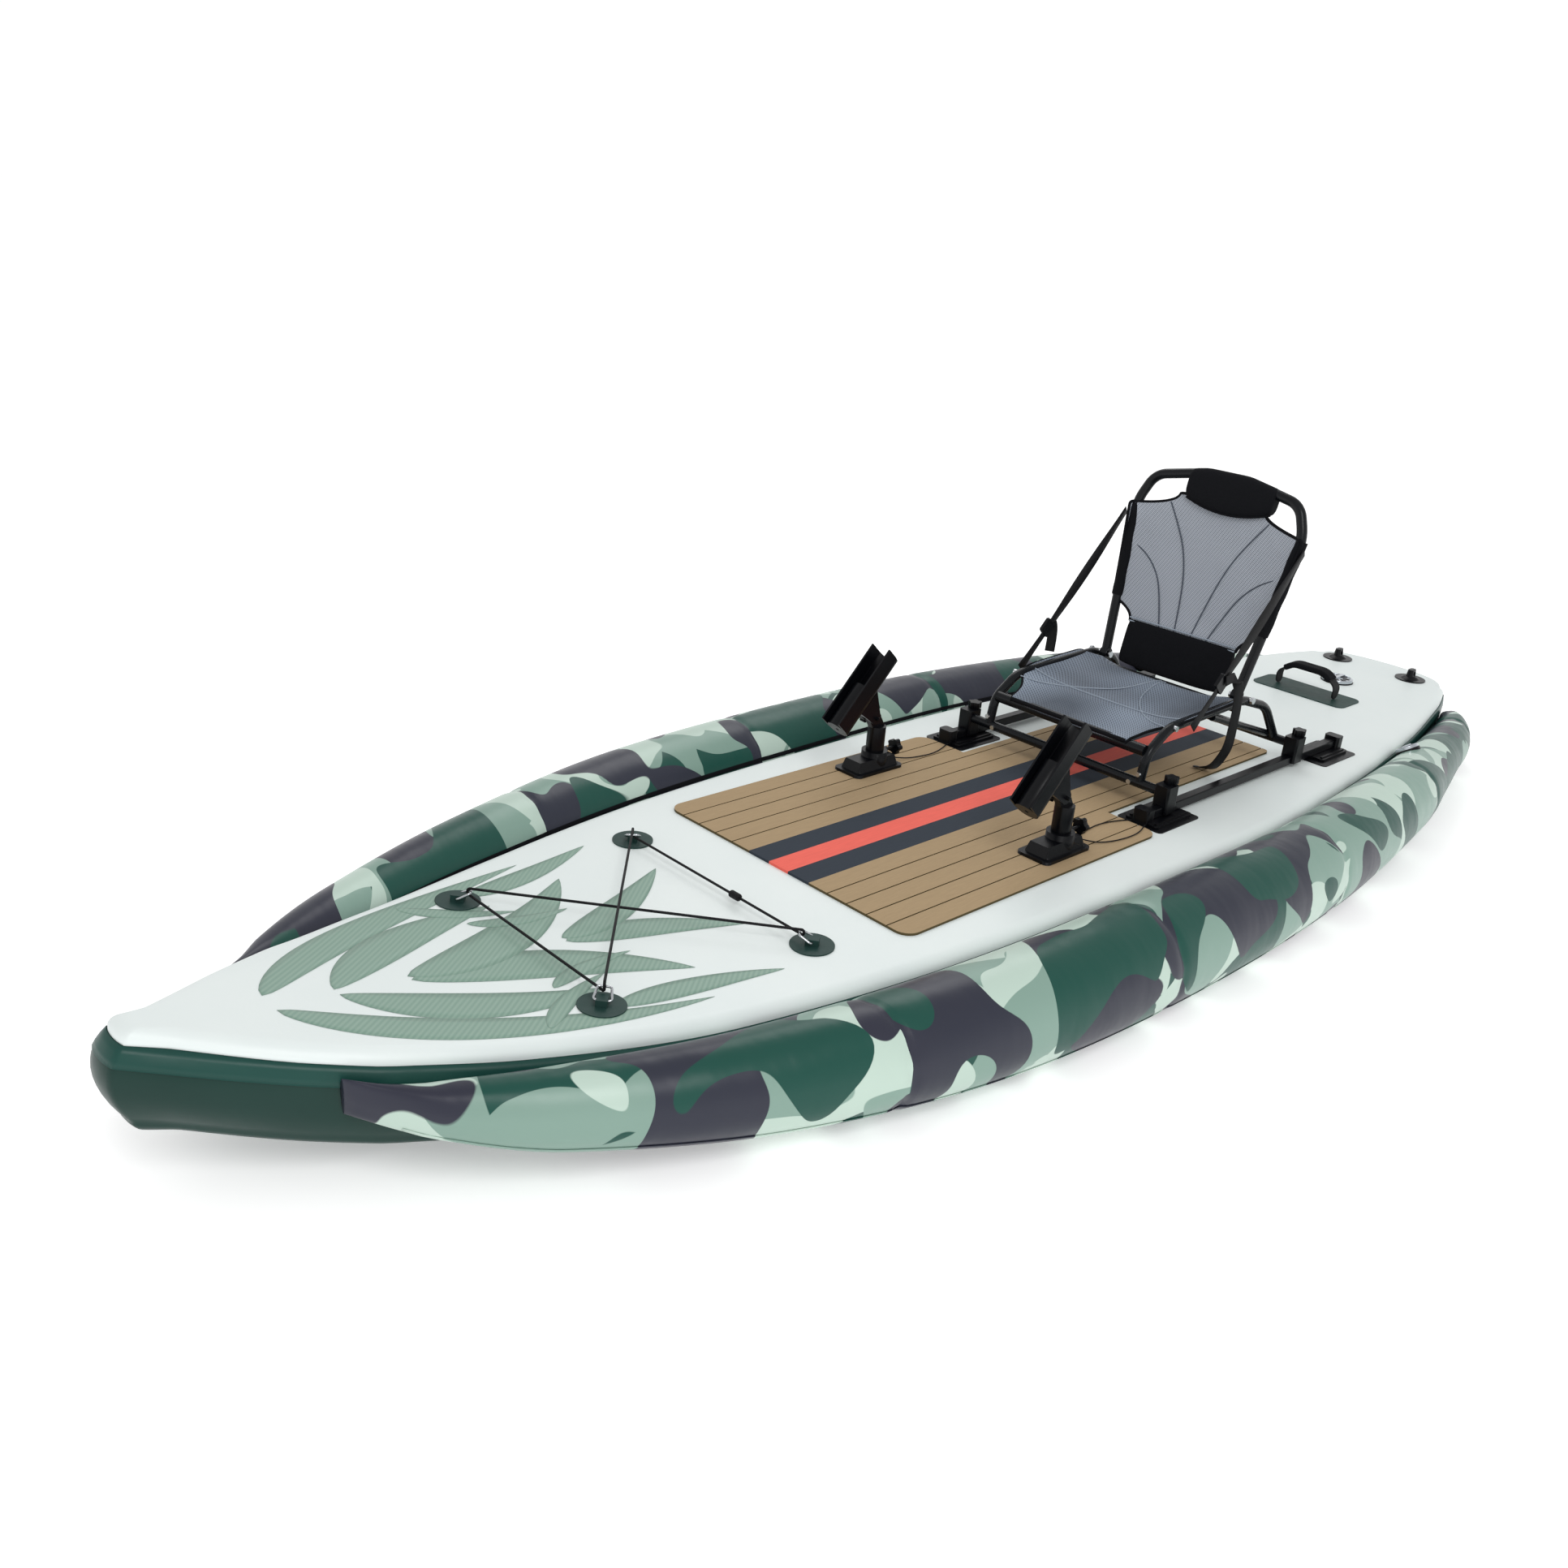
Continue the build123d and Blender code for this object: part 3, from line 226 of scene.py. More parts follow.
def camo_material():
    """Printed camouflage: four flat colours in rounded blots, cut at the panels' joints."""
    s = Shader("camo_print", 0.34, Specular_IOR_Level=0.32)
    place = s.place()
    green = srgb(16, 72, 62)
    sage = srgb(132, 160, 148)
    mint = srgb(190, 210, 198)
    plum = srgb(44, 42, 58)
    spot = s.math("MINIMUM", s.axis(place, "X"), PANEL_END)
    panel = s.math("FLOOR", s.math("DIVIDE", s.math("SUBTRACT", spot, PANEL_START), PANEL_LENGTH))
    jump = s.node("CombineXYZ", {"X": 11.3, "Y": s.math("MULTIPLY", panel, 1.37), "Z": 0.0})
    run = s.node("VectorMath", {0: s.scaled(place, (1.12, 0.98, 0.98)), 1: jump}, operation="ADD")

    def blot(offset, scale):
        moved = s.node("Mapping", {"Vector": run, "Location": offset})
        return s.noise(moved, scale, 0.0, BLOT_DISTORTION)

    # offset, scale, level and colour of each layer of blots, from the lowest up
    layers = [
        ((3.10, 0.40, 1.70), 5.4, 0.470, sage), ((3.17, 0.45, 1.75), 5.4, 0.625, mint),
        ((7.70, 2.90, 4.20), 6.4, 0.595, mint), ((5.50, 7.10, 3.30), 6.6, 0.560, sage),
        ((5.57, 7.16, 3.35), 6.6, 0.630, mint), ((1.30, 8.80, 6.10), 6.0, 0.535, plum),
        ((9.20, 5.30, 0.60), 5.8, 0.625, green),
    ]
    color = green
    for offset, scale, level, tint in layers:
        color = s.mix(s.step(blot(offset, scale), level, BLOT_EDGE), color, tint)
    wavy = s.math("MULTIPLY", blot((2.0, 4.0, 1.0), 7.0), 0.22)
    tip = s.math("ADD", s.math("ADD", s.axis(place, "X"), wavy), s.math("MULTIPLY", s.axis(place, "Z"), 1.3))
    color = s.mix(s.step(tip, 1.735, BLOT_EDGE), color, plum)
    fade = s.noise(place, 3.0, 2.0)
    s.color(s.mix(s.math("MULTIPLY", fade, 0.16), color, shade(green, 0.9)))
    s.rough(s.noise(place, 45.0, 2.0), 0.28, 0.40)
    ripple = s.bump(s.noise(s.scaled(place, (1.0, 0.4, 0.4)), 9.0, 3.0), 0.5, 0.010)
    s.bump(s.noise(place, 800.0, 1.0), 0.10, 0.0004, ripple)
    return s.material


def deck_material():
    """White deck: small woven dimples of drop-stitch cloth under the skin."""
    s = Shader("deck_white", 0.45)
    place = s.place()
    soft = s.noise(place, 4.0, 4.0)
    s.color(s.mix(soft, srgb(218, 227, 226), srgb(230, 236, 234)))
    s.rough(s.noise(place, 90.0, 2.0), 0.38, 0.52)
    dimples = s.node("TexVoronoi", {"Vector": s.scaled(place, (1.0, 1.0, 0.2)), "Scale": 180.0})
    ripple = s.bump(soft, 0.15, 0.010)
    s.bump(dimples, 0.16, 0.0005, ripple)
    return s.material


def print_material():
    """Sage deck print with a fine slanted hatch."""
    s = Shader("deck_print", 0.48)
    place = s.place()
    hatch = s.bands(s.scaled(place, (1.0, 1.0, 0.0), (0.0, 0.0, 0.9)), 42.0)
    color = s.mix(s.math("MULTIPLY", hatch, 0.40), srgb(118, 148, 134), srgb(156, 180, 164))
    s.color(s.mix(s.math("MULTIPLY", s.noise(place, 9.0, 3.0), 0.2), color, srgb(136, 164, 148)))
    s.bump(hatch, 0.08, 0.0003)
    return s.material


GROOVE_BELOW = 0.1545  # foam under this height is the floor of a groove


def foam_material(name, color, groove=None):
    """Brushed foam sheet; the floors of the grooves cut below its face are painted in shade."""
    s = Shader(name, 0.85)
    place = s.place()
    brushed = s.noise(s.scaled(place, (5.0, 60.0, 60.0)), 6.0, 4.0)
    tone = s.mix(brushed, shade(color, 0.86), shade(color, 1.14))
    patchy = s.noise(s.scaled(place, (1.2, 6.0, 1.0)), 3.0, 2.0)
    tone = s.mix(s.math("MULTIPLY", patchy, 0.30), tone, shade(color, 0.80))
    # painted shade: foam below the height of the grooves' floors takes the darker colour
    if groove:
        tone = s.mix(s.math("LESS_THAN", s.axis(place, "Z"), GROOVE_BELOW), tone, groove)
    s.color(tone)
    pores = s.node("TexVoronoi", {"Vector": place, "Scale": 700.0})
    fine = s.bump(brushed, 0.2, 0.0006)
    s.bump(pores, 0.25, 0.0003, fine)
    return s.material


def plastic_material(name, color):
    """Moulded plastic with a fine spark-eroded grain and lighter rubbed spots."""
    s = Shader(name, 0.30, Specular_IOR_Level=0.20)
    place = s.place()
    worn = s.step(s.noise(place, 38.0, 5.0), 0.70, 0.08)
    s.color(s.mix(s.math("MULTIPLY", worn, 0.22), color, shade(color, 2.0)))
    s.rough(s.noise(place, 120.0, 3.0), 0.23, 0.40)
    s.bump(s.noise(place, 1500.0, 2.0), 0.15, 0.0002)
    return s.material


def steel_material(name, color, roughness):
    """Bright metal with faint scratches."""
    s = Shader(name, roughness, Metallic=1.0)
    place = s.place()
    lines = s.noise(s.scaled(place, (20.0, 400.0, 400.0)), 2.0, 3.0)
    s.color(s.mix(lines, shade(color, 0.80), color))
    s.rough(lines, roughness - 0.06, roughness + 0.12)
    s.bump(lines, 0.10, 0.0001)
    return s.material


def tube_material():
    """Dark satin coating over tube, a little orange-peeled."""
    s = Shader("tube_coating", 0.26, Specular_IOR_Level=0.22)
    place = s.place()
    s.color(s.mix(s.noise(place, 30.0, 3.0), srgb(7, 9, 12), srgb(15, 18, 23)))
    s.rough(s.noise(place, 200.0, 2.0), 0.20, 0.34)
    s.bump(s.noise(place, 500.0, 2.0), 0.12, 0.0003)
    return s.material


def mesh_material(name, dark, light, pitch, sheen, patch_shade_weight=0.0):
    """Air mesh: slanted rows of small open cells over a darker backing, darkened in cloudy and broad patches
    of painted shade.
    """
    s = Shader(name, 0.72, Sheen_Weight=sheen, Sheen_Roughness=0.4)
    place = s.place()
    slant = s.scaled(place, (1.0, 1.0, 1.0), (0.5, 0.3, 0.0))
    rows = s.bands(slant, 1.0 / pitch / 6.283 * 2, "Z")
    cross = s.bands(slant, 0.5 / pitch / 6.283 * 2, "Y")
    thread = s.math("MAXIMUM", rows, s.math("MULTIPLY", cross, 0.7))
    tone = s.mix(thread, dark, light)
    # painted shade: the colour darkens with the same noise that raises the cloth's waves
    wave_and_shade_noise = s.noise(place, 11.0, 3.0)
    tone = s.mix(s.math("MULTIPLY", wave_and_shade_noise, 0.4), tone, shade(light, 0.72))
    # painted shade: broad random patches darkened by the given weight
    painted_shade_patches = s.step(s.noise(place, 4.5, 1.0), 0.50, 0.16)
    s.color(s.mix(s.math("MULTIPLY", painted_shade_patches, patch_shade_weight), tone, shade(dark, 0.75)))
    waves = s.bump(wave_and_shade_noise, 0.45, 0.014)
    s.bump(thread, 0.5, 0.0008, waves)
    return s.material


WEBBING_RIB = 0.0022


def webbing_material(name, color):
    """Woven webbing: fine ribs across the strap."""
    s = Shader(name, 0.62, Specular_IOR_Level=0.30)
    place = s.place()
    rows = s.bands(place, 1.0 / WEBBING_RIB / 6.283 * 2, "Z")
    specks = s.noise(place, 600.0, 2.0)
    s.color(s.mix(s.math("MULTIPLY", rows, specks), shade(color, 0.6), shade(color, 2.0)))
    s.bump(rows, 0.5, 0.0006)
    return s.material


def cloth_material(name, color):
    """Dense padded cloth with a small even weave."""
    s = Shader(name, 0.80, Specular_IOR_Level=0.12)
    place = s.place()
    warp = s.bands(place, 360.0, "Y")
    weft = s.bands(place, 360.0, "Z")
    weave = s.math("MULTIPLY", warp, weft)
    s.color(s.mix(weave, shade(color, 0.7), shade(color, 1.8)))
    soft = s.bump(s.noise(place, 14.0, 4.0), 0.4, 0.008)
    s.bump(weave, 0.3, 0.0005, soft)
    return s.material


def braid_material():
    """Braided elastic cord: short slanted strokes."""
    s = Shader("cord_braid", 0.55, Specular_IOR_Level=0.2)
    place = s.place()
    one = s.bands(place, 160.0, "DIAGONAL")
    two = s.bands(s.scaled(place, (-1.0, 1.0, 1.0)), 160.0, "DIAGONAL")
    braid = s.math("MULTIPLY", one, two)
    s.color(s.mix(braid, srgb(6, 6, 8), srgb(30, 30, 34)))
    s.bump(braid, 0.6, 0.0008)
    return s.material


def floor_material():
    s = Shader("floor_pale", 0.9, Emission_Color=(1.0, 1.0, 1.0, 1.0), Emission_Strength=0.33)
    place = s.place()
    s.color(s.mix(s.noise(place, 0.7, 2.0), srgb(250, 250, 250), srgb(254, 254, 254)))
    return s.material


BLACK = srgb(7, 8, 12)
MAT = {
    "camo": camo_material(),
    "hull_green": coated("hull_green", srgb(12, 50, 43), 0.34, 0.12),
    "hull_band": coated("hull_band", srgb(22, 68, 61), 0.36, 0.08),
    "deck_white": deck_material(),
    "deck_print": print_material(),
    "pad_tan": foam_material("foam_tan", srgb(166, 142, 108), srgb(78, 66, 34)),
    "pad_black": foam_material("foam_black", srgb(36, 46, 58)),
    "pad_red": foam_material("foam_red", srgb(238, 104, 90)),
    "black_plastic": plastic_material("plastic_black", BLACK),
    "valve_metal": steel_material("valve_chrome", srgb(200, 206, 212), 0.16),
    "bright_steel": steel_material("steel_bright", srgb(205, 208, 212), 0.22),
    "patch_green": coated("patch_green", srgb(30, 58, 54), 0.5),
    "frame_black": tube_material(),
    "mesh_grey": mesh_material("mesh_grey", srgb(66, 72, 82), srgb(178, 184, 194), 0.0034, 0.15),
    "mesh_blue": mesh_material("mesh_blue", srgb(46, 56, 70), srgb(150, 163, 180), 0.0032, 0.10, 0.75),
    "seam_light": cloth_material("seam_light", srgb(150, 160, 172)),
    "seam_dark": cloth_material("seam_dark", srgb(78, 84, 94)),
    "black_fabric": cloth_material("fabric_black", srgb(13, 14, 18)),
    "webbing": webbing_material("webbing_black", srgb(13, 13, 16)),
    "cord_black": braid_material(),
    "web": coated("inner_web", srgb(220, 220, 214), 0.7),
    "floor": floor_material(),
}


# ---- mesh helpers
def new_object(name, mesh, material, body):
    obj = scene_object(name, mesh)
    mesh.materials.append(MAT[material])
    for polygon in mesh.polygons:
        polygon.use_smooth = True
    if body:
        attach(obj, body)
    return obj


def mesh_from(name, points, faces):
    mesh = bpy.data.meshes.new(name)
    mesh.from_pydata([tuple(p) for p in points], [], faces)
    mesh.update()
    return mesh


def weld_into(mesh, parts, distance):
    """Put the parts into one mesh, with the points that lie together welded."""
    whole = bmesh.new()
    for part in parts:
        whole.from_mesh(part)
    bmesh.ops.remove_doubles(whole, verts=whole.verts, dist=distance)
    bmesh.ops.recalc_face_normals(whole, faces=whole.faces)
    whole.to_mesh(mesh)
    whole.free()
    return mesh


def rows_mesh(name, rows, closed=False, caps=False):
    """Skin over equal rows of points; closed joins each row's end to its start."""
    count = len(rows[0])
    points = [p for row in rows for p in row]
    faces = []
    for i in range(len(rows) - 1):
        for j in range(count if closed else count - 1):
            k = (j + 1) % count
            faces.append((i * count + j, i * count + k, (i + 1) * count + k, (i + 1) * count + j))
    if caps:
        last = (len(rows) - 1) * count
        faces.append(tuple(reversed(range(count))))
        faces.append(tuple(range(last, last + count)))
    mesh = mesh_from(name, points, faces)
    return weld_into(mesh, [mesh], 1e-6)


def add_modifier(obj, kind, **settings):
    modifier = obj.modifiers.new(kind.lower(), kind)
    for key, value in settings.items():
        setattr(modifier, key, value)
    return modifier


def thicken(obj, thickness):
    """Give a thin skin its thickness, half of it to each side."""
    add_modifier(obj, "SOLIDIFY", thickness=thickness, offset=0.0)


def soften(obj):
    """One level of subdivision."""
    add_modifier(obj, "SUBSURF", levels=1, render_levels=1)


def line_object(name, points, radius, material, body, cyclic=False):
    """Round line on one smooth curve through control points."""
    curve = bpy.data.curves.new(name, "CURVE")
    curve.dimensions = "3D"
    curve.bevel_depth = radius
    curve.bevel_resolution = 3
    curve.resolution_u = 10
    curve.use_fill_caps = True
    spline = curve.splines.new("NURBS")
    spline.points.add(len(points) - 1)
    for point, place in zip(spline.points, points):
        point.co = (*place, 1.0)
    spline.order_u = 3
    spline.use_endpoint_u = not cyclic
    spline.use_cyclic_u = cyclic
    obj = scene_object(name, curve)
    curve.materials.append(MAT[material])
    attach(obj, body)
    return obj


def ribbon(name, path, across, width, thick, material, body):
    """Flat strap along a path; across gives its width's direction at each point."""
    rows = []
    for i, point in enumerate(path):
        before, after = path[max(i - 1, 0)], path[min(i + 1, len(path) - 1)]
        along = (after - before).normalized()
        side = across[i] - along * across[i].dot(along)
        side = side.normalized() * width / 2
        up = along.cross(side).normalized() * thick / 2
        lip = side * 0.94
        rows.append([point + side, point + lip + up, point - lip + up,
                     point - side, point - lip - up, point + lip - up])
    mesh = rows_mesh(name, rows, closed=True, caps=True)
    return new_object(name, mesh, material, body)


def smooth_path(points, steps=6):
    """Points along a smooth curve through every control point."""
    points = [Vector(p) for p in points]
    path = []
    for i in range(len(points) - 1):
        p0, p1 = points[max(i - 1, 0)], points[i]
        p2, p3 = points[i + 1], points[min(i + 2, len(points) - 1)]
        for k in range(steps):
            t = k / steps
            path.append(0.5 * (2 * p1 + (p2 - p0) * t + (2 * p0 - 5 * p1 + 4 * p2 - p3) * t**2
                               + (3 * p1 - p0 - 3 * p2 + p3) * t**3))
    path.append(points[-1])
    return path


# ---- hull
HALF_LENGTH = 1.754
DECK = 0.150
ROCKER_START = 0.950
ROCKER_RADIUS = 3.140
NOSE_REACH = 0.014
NOSE_HALF = 0.074
NOSE_DEPTH = 0.066
NOSE_BULGE = 0.024
STERN_DEPTH = 0.082
STERN_HALF = 0.180

# x, rail half-width, bulge of the rail
STATIONS = [
    (-1.760, 0.165, 0.008), (-1.578, 0.228, 0.005), (-1.450, 0.262, 0.005), (-1.236, 0.311, 0.005),
    (-1.040, 0.344, 0.005), (-0.845, 0.374, 0.006), (-0.356, 0.420, 0.008), (0.133, 0.421, 0.012),
    (0.622, 0.397, 0.014), (1.013, 0.335, 0.014), (1.306, 0.250, 0.014), (1.440, 0.201, 0.014),
    (1.488, 0.183, 0.014), (1.649, 0.099, 0.014), (1.760, 0.036, 0.014),
]
# x, radius, height of the centre of the side chamber
CHAMBER = [
    (-1.602, 0.016, 0.088), (-1.575, 0.034, 0.084), (-1.450, 0.052, 0.080), (-1.236, 0.058, 0.092),
    (-1.040, 0.069, 0.099), (-0.845, 0.080, 0.106), (-0.356, 0.091, 0.106), (0.133, 0.097, 0.100),
    (0.622, 0.094, 0.097), (1.013, 0.077, 0.100), (1.306, 0.057, 0.113), (1.440, 0.037, 0.128),
    (1.490, 0.019, 0.137), (1.530, 0.006, 0.149),
]
CHAMBER_GAP = 0.001
PUCKER_REACH = 0.22
PANEL_JOINTS = [PANEL_START + PANEL_LENGTH * k for k in range(1, 6)]


def rise(x):
    """Height that the upswept bow adds at x."""
    return max(0.0, x - ROCKER_START) ** 2 / (2 * ROCKER_RADIUS)


def along_table(table, column, x):
    """Smooth value of a column at x: cubic Hermite between the rows."""
    x = min(max(x, table[0][0]), table[-1][0])
    row = max(i for i in range(len(table) - 1) if table[i][0] <= x)

    def slope(at):
        low, high = table[max(at - 1, 0)], table[min(at + 1, len(table) - 1)]
        return (high[column] - low[column]) / (high[0] - low[0])

    low, high = table[row], table[row + 1]
    span = high[0] - low[0]
    t = (x - low[0]) / span
    rest = low[column] * (1 - t) ** 2 * (1 + 2 * t) + high[column] * t**2 * (3 - 2 * t)
    return rest + slope(row) * span * t * (1 - t) ** 2 - slope(row + 1) * span * t**2 * (1 - t)


def rail_half(x):
    return along_table(STATIONS, 1, x)


def outline_half(x):
    """Half-width of the rail in plan, with the rounded nose and stern."""
    half = rail_half(x)
    nose = HALF_LENGTH + NOSE_REACH - x
    if nose < NOSE_DEPTH:
        blunt = max(1 - (1 - max(nose, 0.0) / NOSE_DEPTH) ** 2.2, 0.0) ** (1 / 2.2)
        half = min(half, NOSE_HALF * blunt)
    stern = x + HALF_LENGTH
    if stern < STERN_DEPTH:
        corner = STERN_HALF * math.sqrt(1 - (1 - stern / STERN_DEPTH) ** 2.6) if stern > 0 else 0.0
        half = min(half, corner)
    return half


def outline(count):
    """Points of the port rail in plan, from the nose to the stern, closer at the ends."""
    near = [0.0, 0.00004, 0.0002, 0.0006, 0.0014, 0.003, 0.006, 0.010, 0.016, 0.024, 0.034, 0.047,
            0.062, 0.080, 0.100]
    first, last = HALF_LENGTH - 0.115, 0.120 - HALF_LENGTH
    xs = [HALF_LENGTH + NOSE_REACH - d for d in near] + evenly(first, last, count)
    xs += [d - HALF_LENGTH for d in reversed(near)]
    return [Vector((x, outline_half(x))) for x in xs]


# past these places the inward normals fan out from a hub, so that they don't cross
NOSE_FAN_FROM, NOSE_HUB = 1.66, 1.655
STERN_FAN_FROM, STERN_HUB = -1.60, -1.52
FAN_BLEND = 0.06


def inward_normals(points):
    """Unit normals of the port outline that point into the board."""
    normals = []
    for i, point in enumerate(points):
        before, after = points[max(i - 1, 0)], points[min(i + 1, len(points) - 1)]
        along = (after - before).normalized()
        normals.append(Vector((-along.y, along.x)))
    for i, point in enumerate(points):
        for past, hub in ((point.x - NOSE_FAN_FROM, NOSE_HUB), (STERN_FAN_FROM - point.x, STERN_HUB)):
            near = climb(past, 0.0, FAN_BLEND)
            if near > 0:
                radial = (Vector((hub, 0.0)) - point).normalized()
                normals[i] = normals[i].lerp(radial, near).normalized()
    normals[0] = Vector((-1.0, 0.0))
    normals[-1] = Vector((1.0, 0.0))
    return normals


RAIL_POINTS = outline(150)
RAIL_NORMALS = inward_normals(RAIL_POINTS)
CORNER = 0.025
ROLL = 0.020
WIDEST_HEIGHT = 0.074
BULGE_REACH = 0.056  # the rail has drawn in by its bulge this far above or below its widest line
FOOT = 0.018  # height at which the rail turns under
SKIN_TOP = 0.131
DECK_FROM = 0.130
BAND_LOW, BAND_HIGH = 0.096, 0.1315
BAND_LIFT = 0.0012
# where along the board the nose's extra bulge comes in, and over what run
NOSE_BULGE_FROM, NOSE_BULGE_RUN = 1.56, 0.16
# the same for its rounding in to the bottom, and the height that this starts at
NOSE_ROUND_FROM, NOSE_ROUND_RUN = 1.48, 0.20
NOSE_ROUND = 0.056


def bulge_at(x):
    """Bulge of the rail, fuller round the nose."""
    nose = climb(x, NOSE_BULGE_FROM, NOSE_BULGE_RUN)
    extra = NOSE_BULGE - STATIONS[-1][2]
    return along_table(STATIONS, 2, x) + extra * nose * nose * (3 - 2 * nose)


def rail_profile(x):
    """(inset from the rail line, height) from the deck's edge down to the bottom."""
    bulge = bulge_at(x)
    steps = []
    for i in range(9):
        t = math.radians(90 * i / 8)
        steps.append((bulge + CORNER * (1 - math.sin(t)), DECK - ROLL + ROLL * math.cos(t)))
    for i in range(1, 13):
        height = (DECK - ROLL) - (DECK - ROLL - FOOT) * i / 12
        steps.append((bulge * ((height - WIDEST_HEIGHT) / BULGE_REACH) ** 2, height))
    for i in range(1, 7):
        t = math.radians(90 * i / 6)
        steps.append((bulge + CORNER * (1 - math.cos(t)), FOOT - FOOT * math.sin(t)))
    share = climb(x, NOSE_ROUND_FROM, NOSE_ROUND_RUN)
    start = bulge * ((NOSE_ROUND - WIDEST_HEIGHT) / BULGE_REACH) ** 2
    for i, (inset, height) in enumerate(steps):
        if height < NOSE_ROUND:
            far = (NOSE_ROUND - height) / NOSE_ROUND
            rounded = start + (bulge + CORNER - start) * (1 - math.sqrt(1 - far**2))
            steps[i] = (inset + share * (max(rounded, inset) - inset), height)
    return steps


def rail_rows(side, keep, lift=0.0):
    """One row of points round each place of the outline, for the heights that keep allows."""
    rows = []
    for point, normal in zip(RAIL_POINTS, RAIL_NORMALS):
        row = []
        for inset, height in rail_profile(point.x):
            if not keep(height):
                continue
            spot = point + normal * (inset - lift)
            row.append(Vector((spot.x, side * max(spot.y, 0.0), height + rise(spot.x))))
        rows.append(row)
    return rows


def cap_rows(height, inset, across):
    """Rows from rail to rail at one height, inset from the outline."""
    rows = []
    for point, normal in zip(RAIL_POINTS, RAIL_NORMALS):
        spot = point + normal * (bulge_at(point.x) + inset)
        half = max(spot.y, 0.0)
        level = height + rise(spot.x)
        rows.append([Vector((spot.x, y, level)) for y in evenly(half, -half, across)])
    return rows


def ring_mesh(name, keep, cap_height, cap_inset, lift=0.0):
    """Rail of both sides with a cap across, as one skin."""
    parts = [rows_mesh(name, rail_rows(side, keep, lift)) for side in (1, -1)]
    if cap_height is not None:
        parts.append(rows_mesh(name, cap_rows(cap_height, cap_inset, 12)))
    return join_meshes(name, parts)


def join_meshes(name, parts):
    """One mesh of several, which are removed."""
    mesh = weld_into(bpy.data.meshes.new(name), parts, 1e-5)
    for part in parts:
        bpy.data.meshes.remove(part)
    return mesh


def make_hull():
    hull_mesh = ring_mesh("hull_skin", lambda z: z <= SKIN_TOP, 0.0, CORNER)
    hull = new_object("hull_skin", hull_mesh, "hull_green", "hull")
    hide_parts("hull_board")
    deck_mesh = ring_mesh("deck_skin", lambda z: z >= DECK_FROM, DECK, CORNER)
    deck = new_object("deck_skin", deck_mesh, "deck_white", "hull")
    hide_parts("deck_panel")
    band_mesh = ring_mesh("rail_band", lambda z: BAND_LOW <= z <= BAND_HIGH, None, 0.0, BAND_LIFT)
    band = new_object("rail_band", band_mesh, "hull_band", "hull")
    thicken(band, 0.0012)


# ---- side chambers
TIP_HEIGHT = 0.0235
ROUND_FROM = 0.037


def chamber_frame(side, x):
    """(centre, half-width, half-height) of the chamber at x."""
    radius = along_table(CHAMBER, 1, x)
    height = radius + 0.0005
    if x > 0 and radius < ROUND_FROM:
        height = TIP_HEIGHT + (radius / ROUND_FROM) * (ROUND_FROM - TIP_HEIGHT) + 0.0005
    center = Vector((x, side * (rail_half(x) + CHAMBER_GAP + radius), along_table(CHAMBER, 2, x)))
    return center, radius, height


def chamber_point(side, x, angle, lift=0.0):
    """Point on the chamber's skin; angle 0 is outboard and 90 is up."""
    center, wide, high = chamber_frame(side, x)
    turn = math.radians(angle)
    pucker = 0.0
    ends = max(0.0, 1 - min(x - CHAMBER[0][0], CHAMBER[-1][0] - x) / PUCKER_REACH)
    if ends > 0:
        pucker = 0.0016 * ends * math.sin(turn * 7 + x * 9) * (1 - ends)
    for joint in PANEL_JOINTS:
        near = (x - joint) / 0.010
        if abs(near) < 3:
            pucker -= 0.0030 * math.exp(-near * near)
            pucker += 0.0012 * math.exp(-abs(near)) * math.sin(turn * 11 + joint * 20)
    uneven = 0.0016 * noise.noise(Vector((x * 2.6, side * 3.0 + math.cos(turn), math.sin(turn))))
    grow = lift + pucker + uneven
    return center + Vector((0.0, side * (wide + grow) * math.cos(turn), (high + grow) * math.sin(turn)))


def chamber_places(count):
    first, last = CHAMBER[0][0], CHAMBER[-1][0]
    places = []
    for i in range(count + 1):
        t = 0.5 - 0.5 * math.cos(math.pi * i / count)
        places.append(first + (last - first) * (0.55 * i / count + 0.45 * t))
    for joint in PANEL_JOINTS:
        places.extend(joint + d for d in (-0.022, -0.012, -0.006, 0.0, 0.006, 0.012, 0.022))
    return sorted(x for x in places if first <= x <= last)


# the lapped tape under the chamber's widest line, and a black strip of painted shadow in the gap by the
# deck:
# name, degrees around the chamber, steps across, places left out at each end, lift, look, slot
CHAMBER_STRIPS = [
    ("tape", -52, -40, 4, 3, 0.0011, "camo", "camo"),
    # painted shadow: the 'joint' strip is black cloth laid where there is only the shade of the gap between
    # the deck's edge and the chamber
    ("joint", 155, 160, 5, 4, 0.0012, "black_fabric", "hull_green"),
]


def make_chamber(name, side):
    rows = [[chamber_point(side, x, 360 * k / 56) for k in range(56)] for x in chamber_places(150)]
    mesh = rows_mesh(f"chamber_{name}", rows, closed=True, caps=True)
    obj = new_object(f"chamber_{name}", mesh, "camo", "hull")
    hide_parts(f"side_chamber_{name}")
    for kind, low, high, steps, skip, lift, look, slot in CHAMBER_STRIPS:
        label = f"chamber_{kind}_{name}"
        angles = evenly(low, high, steps)
        rows = [[chamber_point(side, x, a, lift) for a in angles] for x in chamber_places(110)[skip:-skip]]
        thicken(new_object(label, rows_mesh(label, rows), look, "hull"), 0.0010)


# ---- deck print
def deck_point(x, y, lift):
    return Vector((x, y, DECK + rise(x) + lift))


